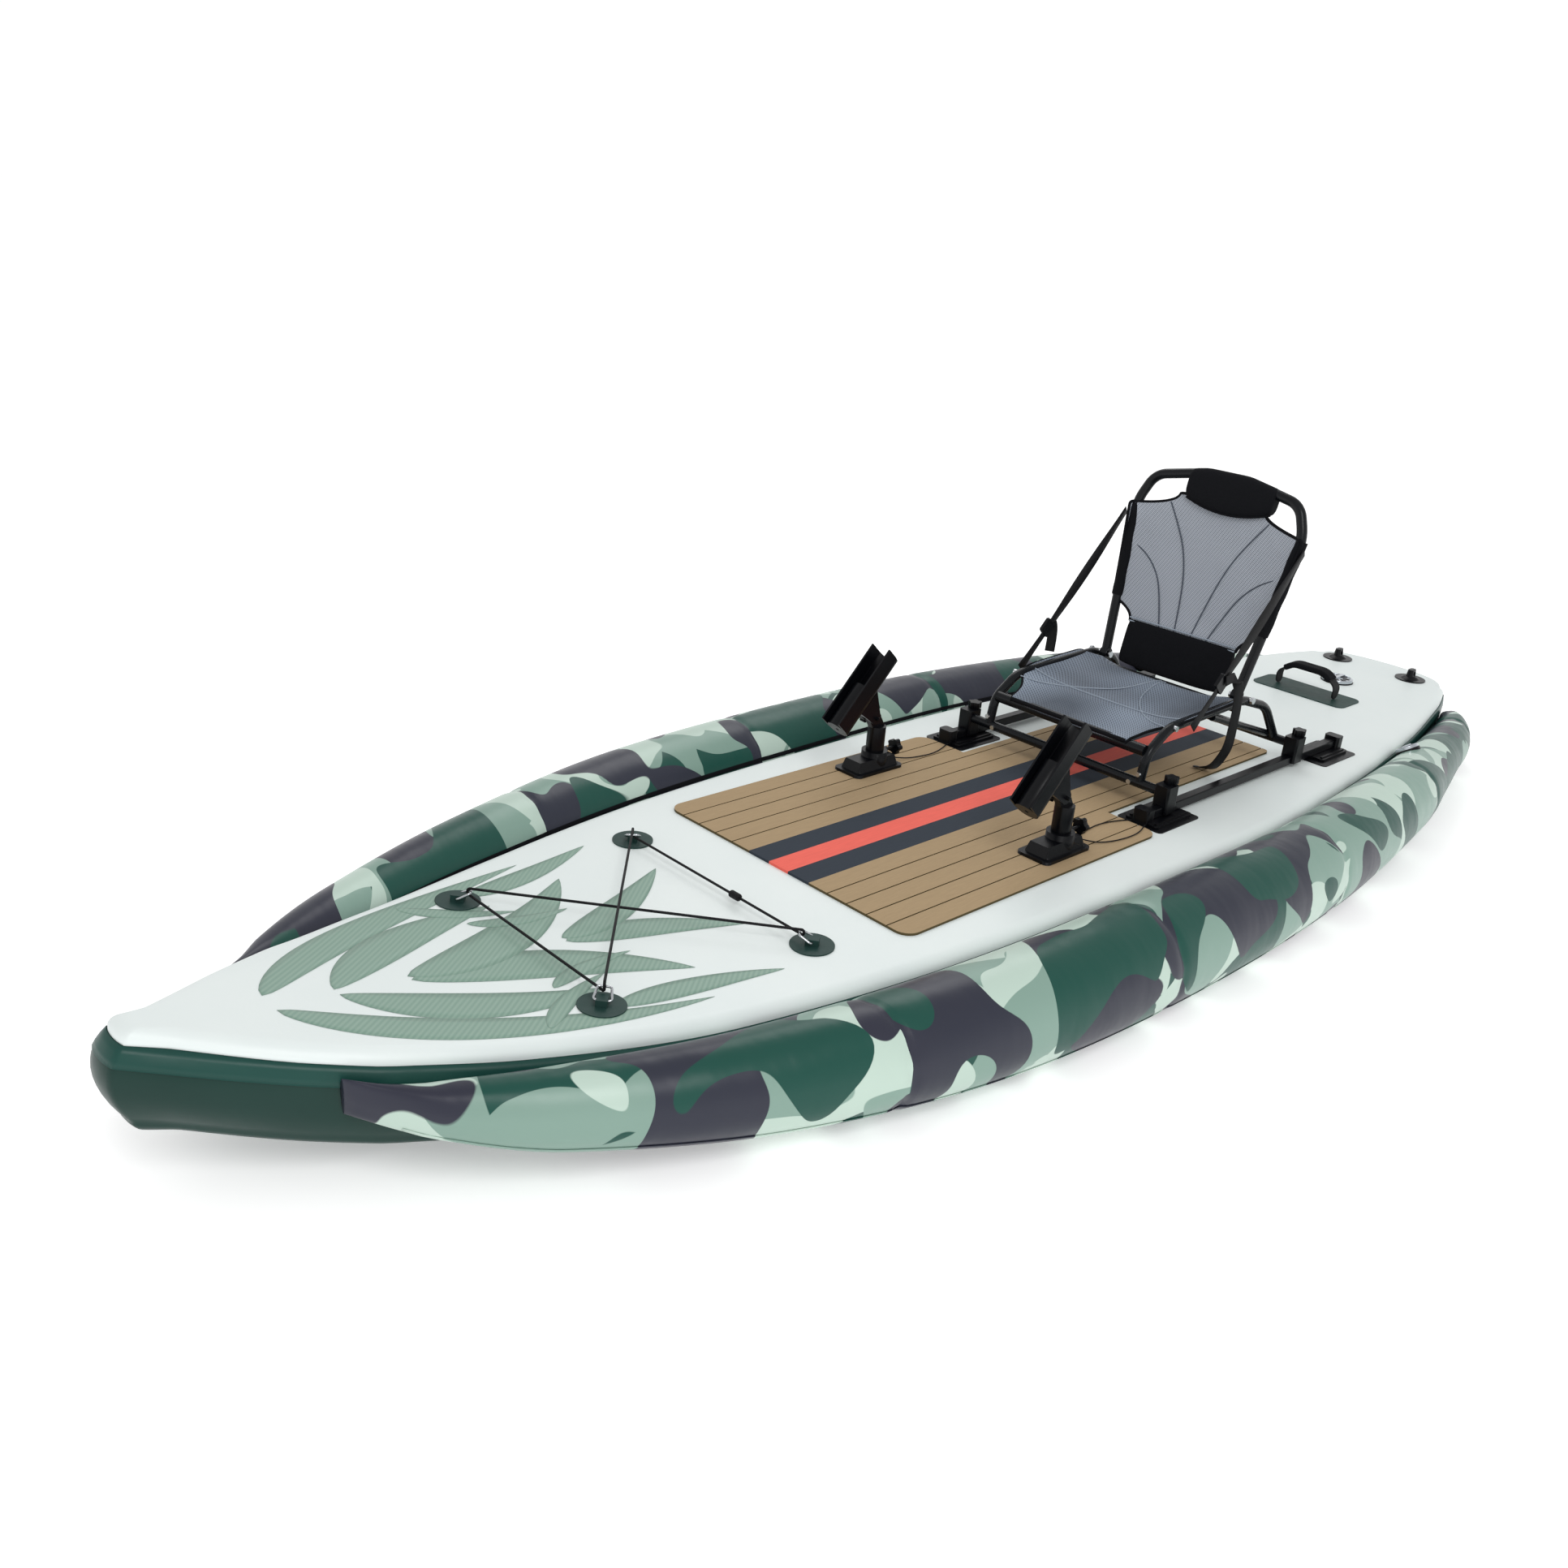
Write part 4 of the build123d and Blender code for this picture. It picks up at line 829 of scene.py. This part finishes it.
def blade(name, start, bend, end, width, lean, lift):
    """Curved leaf on the deck, pointed at both ends and widest at lean."""
    start, bend, end = Vector(start), Vector(bend), Vector(end)
    rows = []
    for i in range(33):
        t = i / 32
        middle = start * (1 - t) ** 2 + bend * 2 * t * (1 - t) + end * t**2
        along = ((bend - start) * (1 - t) + (end - bend) * t).normalized()
        across = Vector((-along.y, along.x))
        shape = math.sin(math.pi * t ** (math.log(0.5) / math.log(lean)))
        half = 0.5 * width * max(shape, 0.0) ** 0.8
        rows.append([deck_point(*(middle + across * half * s), lift) for s in (-1, -0.5, 0, 0.5, 1)])
    return rows_mesh(name, rows)


# start, bend, end in plan, width, place of the widest point
BLADES = [
    ((1.545, 0.022), (1.400, 0.190), (0.990, 0.262), 0.060, 0.40),
    ((1.450, 0.008), (1.330, 0.135), (1.110, 0.155), 0.074, 0.45),
    ((1.340, 0.006), (1.130, 0.010), (0.960, 0.180), 0.088, 0.42),
    ((1.130, 0.205), (1.010, 0.205), (0.850, 0.262), 0.046, 0.40),
    ((1.075, 0.006), (0.960, 0.008), (0.800, 0.120), 0.060, 0.42),
    ((1.245, 0.212), (1.190, 0.150), (1.085, 0.118), 0.030, 0.40),
    ((1.175, 0.118), (1.110, 0.078), (1.010, 0.084), 0.030, 0.40),
]


# each leaf lies a little above the last, and each starboard one a little above its port twin, so
# that no two share a height
PRINT_LIFT = 0.0005
LEAF_STEP = 0.00005
STARBOARD_STEP = 0.00002


def make_deck_print():
    for name, side in SIDES.items():
        parts = []
        for number, (start, bend, end, width, lean) in enumerate(BLADES):
            flip = [(p[0], side * p[1]) for p in (start, bend, end)]
            lift = PRINT_LIFT + LEAF_STEP * number + (STARBOARD_STEP if side < 0 else 0.0)
            parts.append(blade(f"blade_{number}", *flip, width, lean, lift))
        mesh = join_meshes(f"deck_print_{name}", parts)
        obj = new_object(f"deck_print_{name}", mesh, "deck_print", "hull")
        thicken(obj, 0.0002)


# ---- chair cloth
PIVOT = Vector((-0.559, 0.0, 0.314))
LEAN = math.radians(12.5)
BACK_UP = Vector((-math.sin(LEAN), 0.0, math.cos(LEAN)))
BACK_OUT = Vector((math.cos(LEAN), 0.0, math.sin(LEAN)))


# half-width between the hoop's tubes at the hinge and from the height where they run parallel
HOOP_LOW, HOOP_WIDE = 0.172, 0.207
HOOP_PARALLEL = 0.35
BACK_HALF = 0.21
CURL = 0.012


def back_point(y, up, out=0.0):
    """Place on the chair back: across, up from the hinge, and forward of the hoop's plane."""
    return PIVOT + Vector((0.0, y, 0.0)) + BACK_UP * up + BACK_OUT * out


def hoop_half(up):
    """Half-width between the hoop's tube centres."""
    return HOOP_LOW + (HOOP_WIDE - HOOP_LOW) * min(up, HOOP_PARALLEL) / HOOP_PARALLEL


def back_hollow(y, up):
    """How far the slung mesh lies behind the hoop's plane."""
    return -0.016 * (1 - (y / BACK_HALF) ** 2) * math.sin(math.pi * climb(up, 0.03, 0.40))


def mesh_out(y, up):
    """Reach of the back mesh in front of the hoop's plane; its sides curl forward."""
    return back_hollow(y, up) + CURL * (abs(y) / BACK_HALF) ** 8


MESH_LOW = 0.086
NOTCH = 0.132
MESH_HIGH = 0.347
MESH_LAP = 0.008
MESH_FOOT_HALF = 0.137
MESH_TOP_HALF = 0.104
SHOULDER = 0.045  # height of the cut-out shoulders


def mesh_half(up):
    """Half-width of the back mesh: narrow foot, notch, sleeve on the tubes, cut-out shoulders."""
    if up < NOTCH:
        t = (up - MESH_LOW) / (NOTCH - MESH_LOW)
        return MESH_FOOT_HALF + (hoop_half(up) + MESH_LAP - MESH_FOOT_HALF) * t**2.2
    if up < MESH_HIGH:
        return hoop_half(up) + MESH_LAP
    t = min((up - MESH_HIGH) / SHOULDER, 1.0)
    return (hoop_half(up) + MESH_LAP) * (1 - t) ** 2.4 + MESH_TOP_HALF * (1 - (1 - t) ** 2.4)


def make_back_mesh():
    rows = []
    ups = evenly(MESH_LOW, NOTCH, 8) + evenly(NOTCH, MESH_HIGH, 14)[1:]
    ups += [MESH_HIGH + SHOULDER * (i / 8) ** 1.3 for i in range(1, 9)]
    for up in ups:
        row = []
        for y in evenly(mesh_half(up), -mesh_half(up), 28):
            uneven = 0.0015 * noise.noise(Vector((y * 14, up * 14, 0.3)))
            row.append(back_point(y, up, mesh_out(y, up) + uneven))
        rows.append(row)
    mesh = rows_mesh("back_panel", rows)
    obj = new_object("back_panel", mesh, "mesh_grey", "backrest")
    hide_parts("back_mesh")
    thicken(obj, 0.004)
    soften(obj)
    for name, side in SIDES.items():
        sleeve = []
        for up in evenly(0.136, 0.346, 14):
            ring = []
            for k in range(18):
                turn = 2 * math.pi * k / 18
                radius = 0.0132 + 0.0008 * math.sin(up * 90 + turn * 2)
                across = hoop_half(up) + radius * math.cos(turn)
                ring.append(back_point(side * across, up, radius * math.sin(turn)))
            sleeve.append(ring)
        mesh = rows_mesh(f"back_sleeve_{name}", sleeve, closed=True)
        new_object(f"back_sleeve_{name}", mesh, "black_fabric", "backrest")
    edge = [back_point(side * mesh_half(up), up, mesh_out(mesh_half(up), up))
            for side, run in ((1, ups), (-1, ups[::-1])) for up in run]
    line_object("back_binding", edge, 0.0036, "black_fabric", "backrest", cyclic=True)


# across and up on the chair back, for its port half
BACK_SEAMS = [
    [(0.061, 0.092), (0.087, 0.168), (0.115, 0.216), (0.159, 0.252), (0.208, 0.270)],
    [(0.021, 0.092), (0.034, 0.181), (0.054, 0.253), (0.081, 0.308), (0.122, 0.366)],
]
# x and y on the seat cloth
SEAT_SEAMS = [
    [(-0.262, -0.186), (-0.300, -0.110), (-0.385, -0.030), (-0.470, -0.004), (-0.540, 0.008)],
    [(-0.262, 0.186), (-0.300, 0.110), (-0.385, 0.045), (-0.470, 0.018), (-0.540, 0.016)],
]


def make_back_seams():
    for number, points in enumerate(BACK_SEAMS):
        for name, side in SIDES.items():
            places = [back_point(side * y, up, back_hollow(y, up) + 0.0032) for y, up in points]
            line_object(f"back_seam_{number}_{name}", places, 0.0014, "seam_dark", "backrest")


def superellipse(count, power):
    """Unit points of a squared circle."""
    points = []
    for i in range(count):
        t = 2 * math.pi * i / count
        c, s = math.cos(t), math.sin(t)
        points.append((math.copysign(abs(c) ** (2 / power), c), math.copysign(abs(s) ** (2 / power), s)))
    return points


def pad_mesh(name, halves, low, high, thick, mid=0.0, power=2.8):
    """Padded closed form across the chair back; low, high and thick are functions of y."""
    rows = []
    ring = superellipse(28, power)
    for y, shrink in halves:
        center = (low(y) + high(y)) / 2
        tall = (high(y) - low(y)) / 2 * shrink
        deep = thick(y) * shrink
        rows.append([back_point(y, center + tall * a, mid + deep * b) for a, b in ring])
    return rows_mesh(name, rows, closed=True, caps=True)


def pad_rows(half, count, soft):
    """Places across a pad, with the last few rounding its ends off."""
    inner = half - soft
    places = [(y, 1.0) for y in evenly(-inner, inner, count)]
    ends = [(0.45, 0.985), (0.75, 0.93), (0.93, 0.80), (1.0, 0.62)]
    right = [(inner + soft * a, b) for a, b in ends]
    left = [(-y, b) for y, b in reversed(right)]
    return left + places + right


HEAD_Y = 0.018
LUMBAR_HALF = 0.136


def head_low(y):
    """Lower edge of the head cushion, hanging lowest at its middle."""
    return 0.365 + 0.020 * ((y - HEAD_Y) / 0.105) ** 2


def head_high(y):
    """Upper edge, just over the hoop's top bend."""
    return 0.4550 - 0.19 * max(abs(y) - 0.05, 0.0)


def make_back_pads():
    head = pad_mesh(
        "head_cushion", [(HEAD_Y + y, shrink) for y, shrink in pad_rows(0.106, 16, 0.010)],
        head_low, head_high, lambda y: 0.0170,
    )
    pad = new_object("head_cushion", head, "black_fabric", "backrest")
    soften(pad)
    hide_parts("head_pad")
    trim = [back_point(y, head_low(y), 0.004) for y in evenly(HEAD_Y - 0.103, HEAD_Y + 0.103, 10)]
    line_object("head_piping", trim, 0.0028, "black_fabric", "backrest")
    lumbar = pad_mesh(
        "lumbar_cushion", pad_rows(LUMBAR_HALF, 16, 0.008),
        lambda y: -0.012 + 0.006 * (y / MESH_FOOT_HALF) ** 4, lambda y: 0.092, lambda y: 0.0085, -0.004, 4.5,
    )
    pad = new_object("lumbar_cushion", lumbar, "black_fabric", "backrest")
    soften(pad)
    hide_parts("lumbar_pad")
    for number, up in enumerate((0.088, 0.096)):
        line = [back_point(y, up, 0.0015 - 0.004 * (1 - (y / MESH_FOOT_HALF) ** 2))
                for y in evenly(-LUMBAR_HALF, LUMBAR_HALF, 8)]
        line_object(f"lumbar_piping_{number}", line, 0.0017, "seam_light", "backrest")


# seat cloth: x, half-width, height of the tubes it hangs from
SEAT_ROWS = [
    (-0.186, 0.146, 0.272), (-0.192, 0.150, 0.280), (-0.212, 0.154, 0.284), (-0.240, 0.162, 0.292),
    (-0.265, 0.182, 0.302), (-0.290, 0.203, 0.312), (-0.330, 0.208, 0.316), (-0.400, 0.208, 0.3185),
    (-0.470, 0.208, 0.3210), (-0.500, 0.207, 0.3222), (-0.508, 0.200, 0.3215), (-0.514, 0.172, 0.3180),
    (-0.540, 0.166, 0.3100),
]


def seat_height(x, y, edge_z, half):
    """Slung cloth: highest over the side tubes and lowest in the middle."""
    across = min(abs(y) / half, 1.0)
    deep = 0.020 * math.sin(math.pi * climb(-x, 0.185, 0.40)) ** 0.6 + 0.002
    return edge_z - deep * (1 - across**4)


def make_seat_cloth():
    rows = []
    for i in range((len(SEAT_ROWS) - 1) * 3 + 1):
        k, t = divmod(i, 3)
        low = SEAT_ROWS[k]
        high = SEAT_ROWS[min(k + 1, len(SEAT_ROWS) - 1)]
        x, half, edge_z = (a + (b - a) * t / 3 for a, b in zip(low, high))
        row = []
        for y in evenly(half, -half, 32):
            z = seat_height(x, y, edge_z, half)
            z += 0.0018 * noise.noise(Vector((x * 16, y * 12, 2.0)))
            row.append(Vector((x, y, z)))
        rows.append(row)
    mesh = rows_mesh("seat_cloth", rows)
    obj = new_object("seat_cloth", mesh, "mesh_blue", "seat")
    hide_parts("seat_sling")
    thicken(obj, 0.004)
    soften(obj)
    front_x, front_half, front_z = SEAT_ROWS[0]
    front = [Vector((front_x, y, front_z + 0.004)) for y in evenly(-front_half, front_half, 8)]
    line_object("seat_front_band", front, 0.0046, "black_fabric", "seat")
    for name, side in SIDES.items():
        edge = [Vector((x, side * half, z - 0.001)) for x, half, z in SEAT_ROWS]
        line_object(f"seat_binding_{name}", edge, 0.0030, "black_fabric", "seat")


def seat_surface(x, y):
    """Height of the seat cloth's top at a place."""
    for front, rear in zip(SEAT_ROWS, SEAT_ROWS[1:]):
        if x >= rear[0]:
            break
    t = climb(front[0] - x, 0.0, front[0] - rear[0])
    half = front[1] + (rear[1] - front[1]) * t
    edge_z = front[2] + (rear[2] - front[2]) * t
    return seat_height(x, y, edge_z, half) + 0.003


CROSS_SEAM_X = -0.315


def make_seat_seams():
    for number, points in enumerate(SEAT_SEAMS):
        path = smooth_path([(x, y, 0.0) for x, y in points], 4)
        places = [Vector((p.x, p.y, seat_surface(p.x, p.y))) for p in path]
        line_object(f"seat_seam_{number}", places, 0.0014, "seam_light", "seat")
    across = [Vector((CROSS_SEAM_X, y, seat_surface(CROSS_SEAM_X, y))) for y in evenly(-0.19, 0.19, 12)]
    line_object("seat_seam_across", across, 0.0015, "seam_light", "seat")


# ---- straps
STRAP_LOW = Vector((-0.306, 0.0, 0.304))
STRAP_HIGH = Vector((-0.622, 0.0, 0.634))
STRAP_Y = 0.2225
TAIL_NEAR = [
    (-0.390, 0.2302, 0.392), (-0.418, 0.231, 0.396), (-0.442, 0.232, 0.374), (-0.454, 0.232, 0.330),
    (-0.457, 0.231, 0.280), (-0.458, 0.228, 0.235), (-0.466, 0.212, 0.198), (-0.476, 0.194, 0.174),
    (-0.482, 0.172, 0.162), (-0.476, 0.150, 0.160),
]
TAIL_FAR = [
    (-0.390, -0.2302, 0.392), (-0.410, -0.231, 0.394), (-0.421, -0.232, 0.378),
    (-0.424, -0.233, 0.350), (-0.423, -0.233, 0.322),
]


def make_straps():
    run = STRAP_HIGH - STRAP_LOW
    across = Vector((0.0, 1.0, 0.0)).cross(run).normalized()
    for name, side in SIDES.items():
        path = []
        turns = []
        for i in range(25):
            t = i / 24
            bow = 0.0035 * math.sin(math.pi * t)
            path.append(STRAP_LOW + run * t - across * bow + Vector((0.0, side * STRAP_Y, 0.0)))
            turns.append(across + Vector((0.0, 0.25 * math.sin(2.5 * math.pi * t), 0.0)))
        strap = ribbon(f"strap_{name}", path, turns, 0.025, 0.0022, "webbing", None)
        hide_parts(f"side_strap_{name}")
        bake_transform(strap)
    for label, points in (("near", TAIL_NEAR), ("far", TAIL_FAR)):
        path = smooth_path(points, 5)
        turns = []
        for i in range(len(path)):
            t = i / (len(path) - 1)
            twist = 0.35 * math.sin(5.0 * t)
            flat = Vector((0.72, -0.66 + twist, 0.05))
            turns.append(flat if t > 0.3 else Vector((0.2, 0.0, 1.0)).lerp(flat, t / 0.3))
        tail = ribbon(f"strap_tail_{label}", path, turns, 0.022, 0.0020, "webbing", "seat")
        if label == "near":
            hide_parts("strap_tails")


# ---- cords
LANYARDS = {
    "lanyard_left_inner": [
        (0.0754, 0.236, 0.164), (0.060, 0.234, 0.1605), (0.036, 0.226, 0.1575), (0.004, 0.219, 0.157),
        (-0.028, 0.217, 0.157), (-0.058, 0.222, 0.157), (-0.082, 0.230, 0.157), (-0.097, 0.236, 0.1568),
        (-0.1095, 0.240, 0.156),
    ],
    "lanyard_left_outer": [
        (0.0747, 0.245, 0.164), (0.063, 0.253, 0.1605), (0.046, 0.269, 0.1575), (0.016, 0.281, 0.157),
        (-0.018, 0.287, 0.157), (-0.052, 0.288, 0.157), (-0.078, 0.283, 0.157), (-0.096, 0.276, 0.1568),
        (-0.1094, 0.271, 0.156),
    ],
    "lanyard_right": [
        (0.0754, -0.238, 0.164), (0.060, -0.235, 0.1605), (0.036, -0.227, 0.1575), (0.004, -0.221, 0.157),
        (-0.028, -0.218, 0.157), (-0.058, -0.223, 0.157), (-0.082, -0.231, 0.157), (-0.097, -0.237, 0.1568),
        (-0.1095, -0.241, 0.156),
    ],
}
LANYARD_RADIUS = 0.00125


def make_lanyards():
    for name, points in LANYARDS.items():
        cord = line_object(f"{name}_cord", points, LANYARD_RADIUS, "cord_black", "hull")
        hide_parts(name)


# ---- valve faces
LID_TOP = 0.0083
# seat, way it faces, radius of the lid
VALVES = {
    "stern": ((-1.425, 0.0, 0.150), (0.0, 0.0, 1.0), 0.040),
    "left": ((-1.040, 0.3744, 0.1555), (0.0, -0.5736, 0.8192), 0.026),
    "right": ((-1.040, -0.3744, 0.1555), (0.0, 0.5736, 0.8192), 0.026),
}


def torus(name, origin, facing, radius, wire):
    """Round ring that lies flat on a face."""
    turns, sides = 40, 10
    up = Vector(facing).normalized()
    along = Vector((1.0, 0.0, 0.0))
    side = up.cross(along)
    rows = []
    for i in range(turns + 1):
        a = 2 * math.pi * i / turns
        out = along * math.cos(a) + side * math.sin(a)
        ring = [2 * math.pi * k / sides for k in range(sides)]
        rows.append([Vector(origin) + out * (radius + wire * math.cos(b)) + up * wire * math.sin(b)
                     for b in ring])
    return rows_mesh(name, rows, closed=True)


def make_valve_faces():
    """Bright rim and dark grille slots on each valve's lid."""
    along = Vector((1.0, 0.0, 0.0))
    for name, (seat, facing, radius) in VALVES.items():
        up = Vector(facing)
        side = up.cross(along)
        top = Vector(seat) + up * LID_TOP
        rim = torus(f"valve_rim_{name}", top, facing, radius * 0.90, radius * 0.055)
        new_object(f"valve_rim_{name}", rim, "valve_metal", f"{name}_valve_lid")
        slots = []
        for k in range(8):
            rows = []
            for i in range(7):
                reach = radius * (0.34 + 0.44 * i / 6)
                spread = math.radians(15 * math.sin(math.pi * (i + 0.6) / 7.2) ** 0.5)
                row = []
                for j in range(5):
                    a = math.radians(45 * k + 22.5) + spread * (j - 2) / 2
                    row.append(top + (along * math.cos(a) + side * math.sin(a)) * reach + up * 0.0004)
                rows.append(row)
            slots.append(rows_mesh(f"slot_{k}", rows))
        obj = new_object(f"valve_grille_{name}", join_meshes(f"valve_grille_{name}", slots), "black_plastic",
                         f"{name}_valve_lid")
        thicken(obj, 0.0006)


# ---- CAD nodes that stay
NODE_LOOKS = {
    "web": ["dropstitch_webs"],
    "black_plastic": [
        "valve_bodies", "rail_patches", "rail_left", "rail_right", "rail_mounts", "lashing_studs",
        "front_clamps", "rear_clamps", "strap_buckles",
    ],
    "valve_metal": [f"valve_cap_{name}" for name in VALVES],
    "bright_steel": [*(f"valve_stem_{name}" for name in VALVES), "d_rings", "frame_bolts"],
    "pad_tan": ["pad_tan"], "pad_black": ["pad_black"], "pad_red": ["pad_red"],
    "patch_green": ["lash_patches", "handle_patch"],
    "cord_black": ["bungee_cord", "bungee_knot"],
    "webbing": ["handle_webbing"],
    "black_fabric": ["handle_grip"],
    "frame_black": ["crossbars", "side_frame_left", "side_frame_right", "seat_bars", "back_hoop"],
}
BEVELLED = [
    "rail_mounts", "front_clamps", "rear_clamps", "strap_buckles", "handle_grip", "rail_left", "rail_right",
]
PAIRED_PARTS = [
    "rod_base", "rod_post", "rod_holder", "rod_tilt_knob", "rod_base_knob",
    "clamp_knob_front", "clamp_knob_rear",
]
for side_name in SIDES:
    pieces = [f"{part}_{side_name}" for part in PAIRED_PARTS]
    NODE_LOOKS["black_plastic"] += pieces
    BEVELLED += pieces


def dress_nodes():
    for look, names in NODE_LOOKS.items():
        for name in names:
            NODES[name].data.materials.clear()
            NODES[name].data.materials.append(MAT[look])
    for name in BEVELLED:
        node = NODES[name]
        add_modifier(node, "WELD", merge_threshold=0.00002)
        add_modifier(node, "BEVEL", width=0.0012, segments=2, limit_method="ANGLE",
                     angle_limit=math.radians(40))


# ---- build
make_camera()
make_world(1.02, 0.66)
make_light("key", (2.2, 3.4, 4.2), (0.0, 0.0, 0.1), 2.6, 95)
make_light("fill", (-2.5, -2.5, 4.0), (0.0, 0.0, 0.1), 3.0, 45)
bpy.context.scene.view_settings.view_transform = "Standard"

floor_mesh = mesh_from("floor", [(-40, -40, 0), (40, -40, 0), (40, 40, 0), (-40, 40, 0)], [(0, 1, 2, 3)])
floor = scene_object("floor", floor_mesh)
floor.location.z = -0.0006
floor_mesh.materials.append(MAT["floor"])

make_hull()
for side_name, side_sign in SIDES.items():
    make_chamber(side_name, side_sign)
make_deck_print()
make_back_mesh()
make_back_seams()
make_back_pads()
make_seat_cloth()
make_seat_seams()
make_straps()
make_lanyards()
make_valve_faces()
dress_nodes()
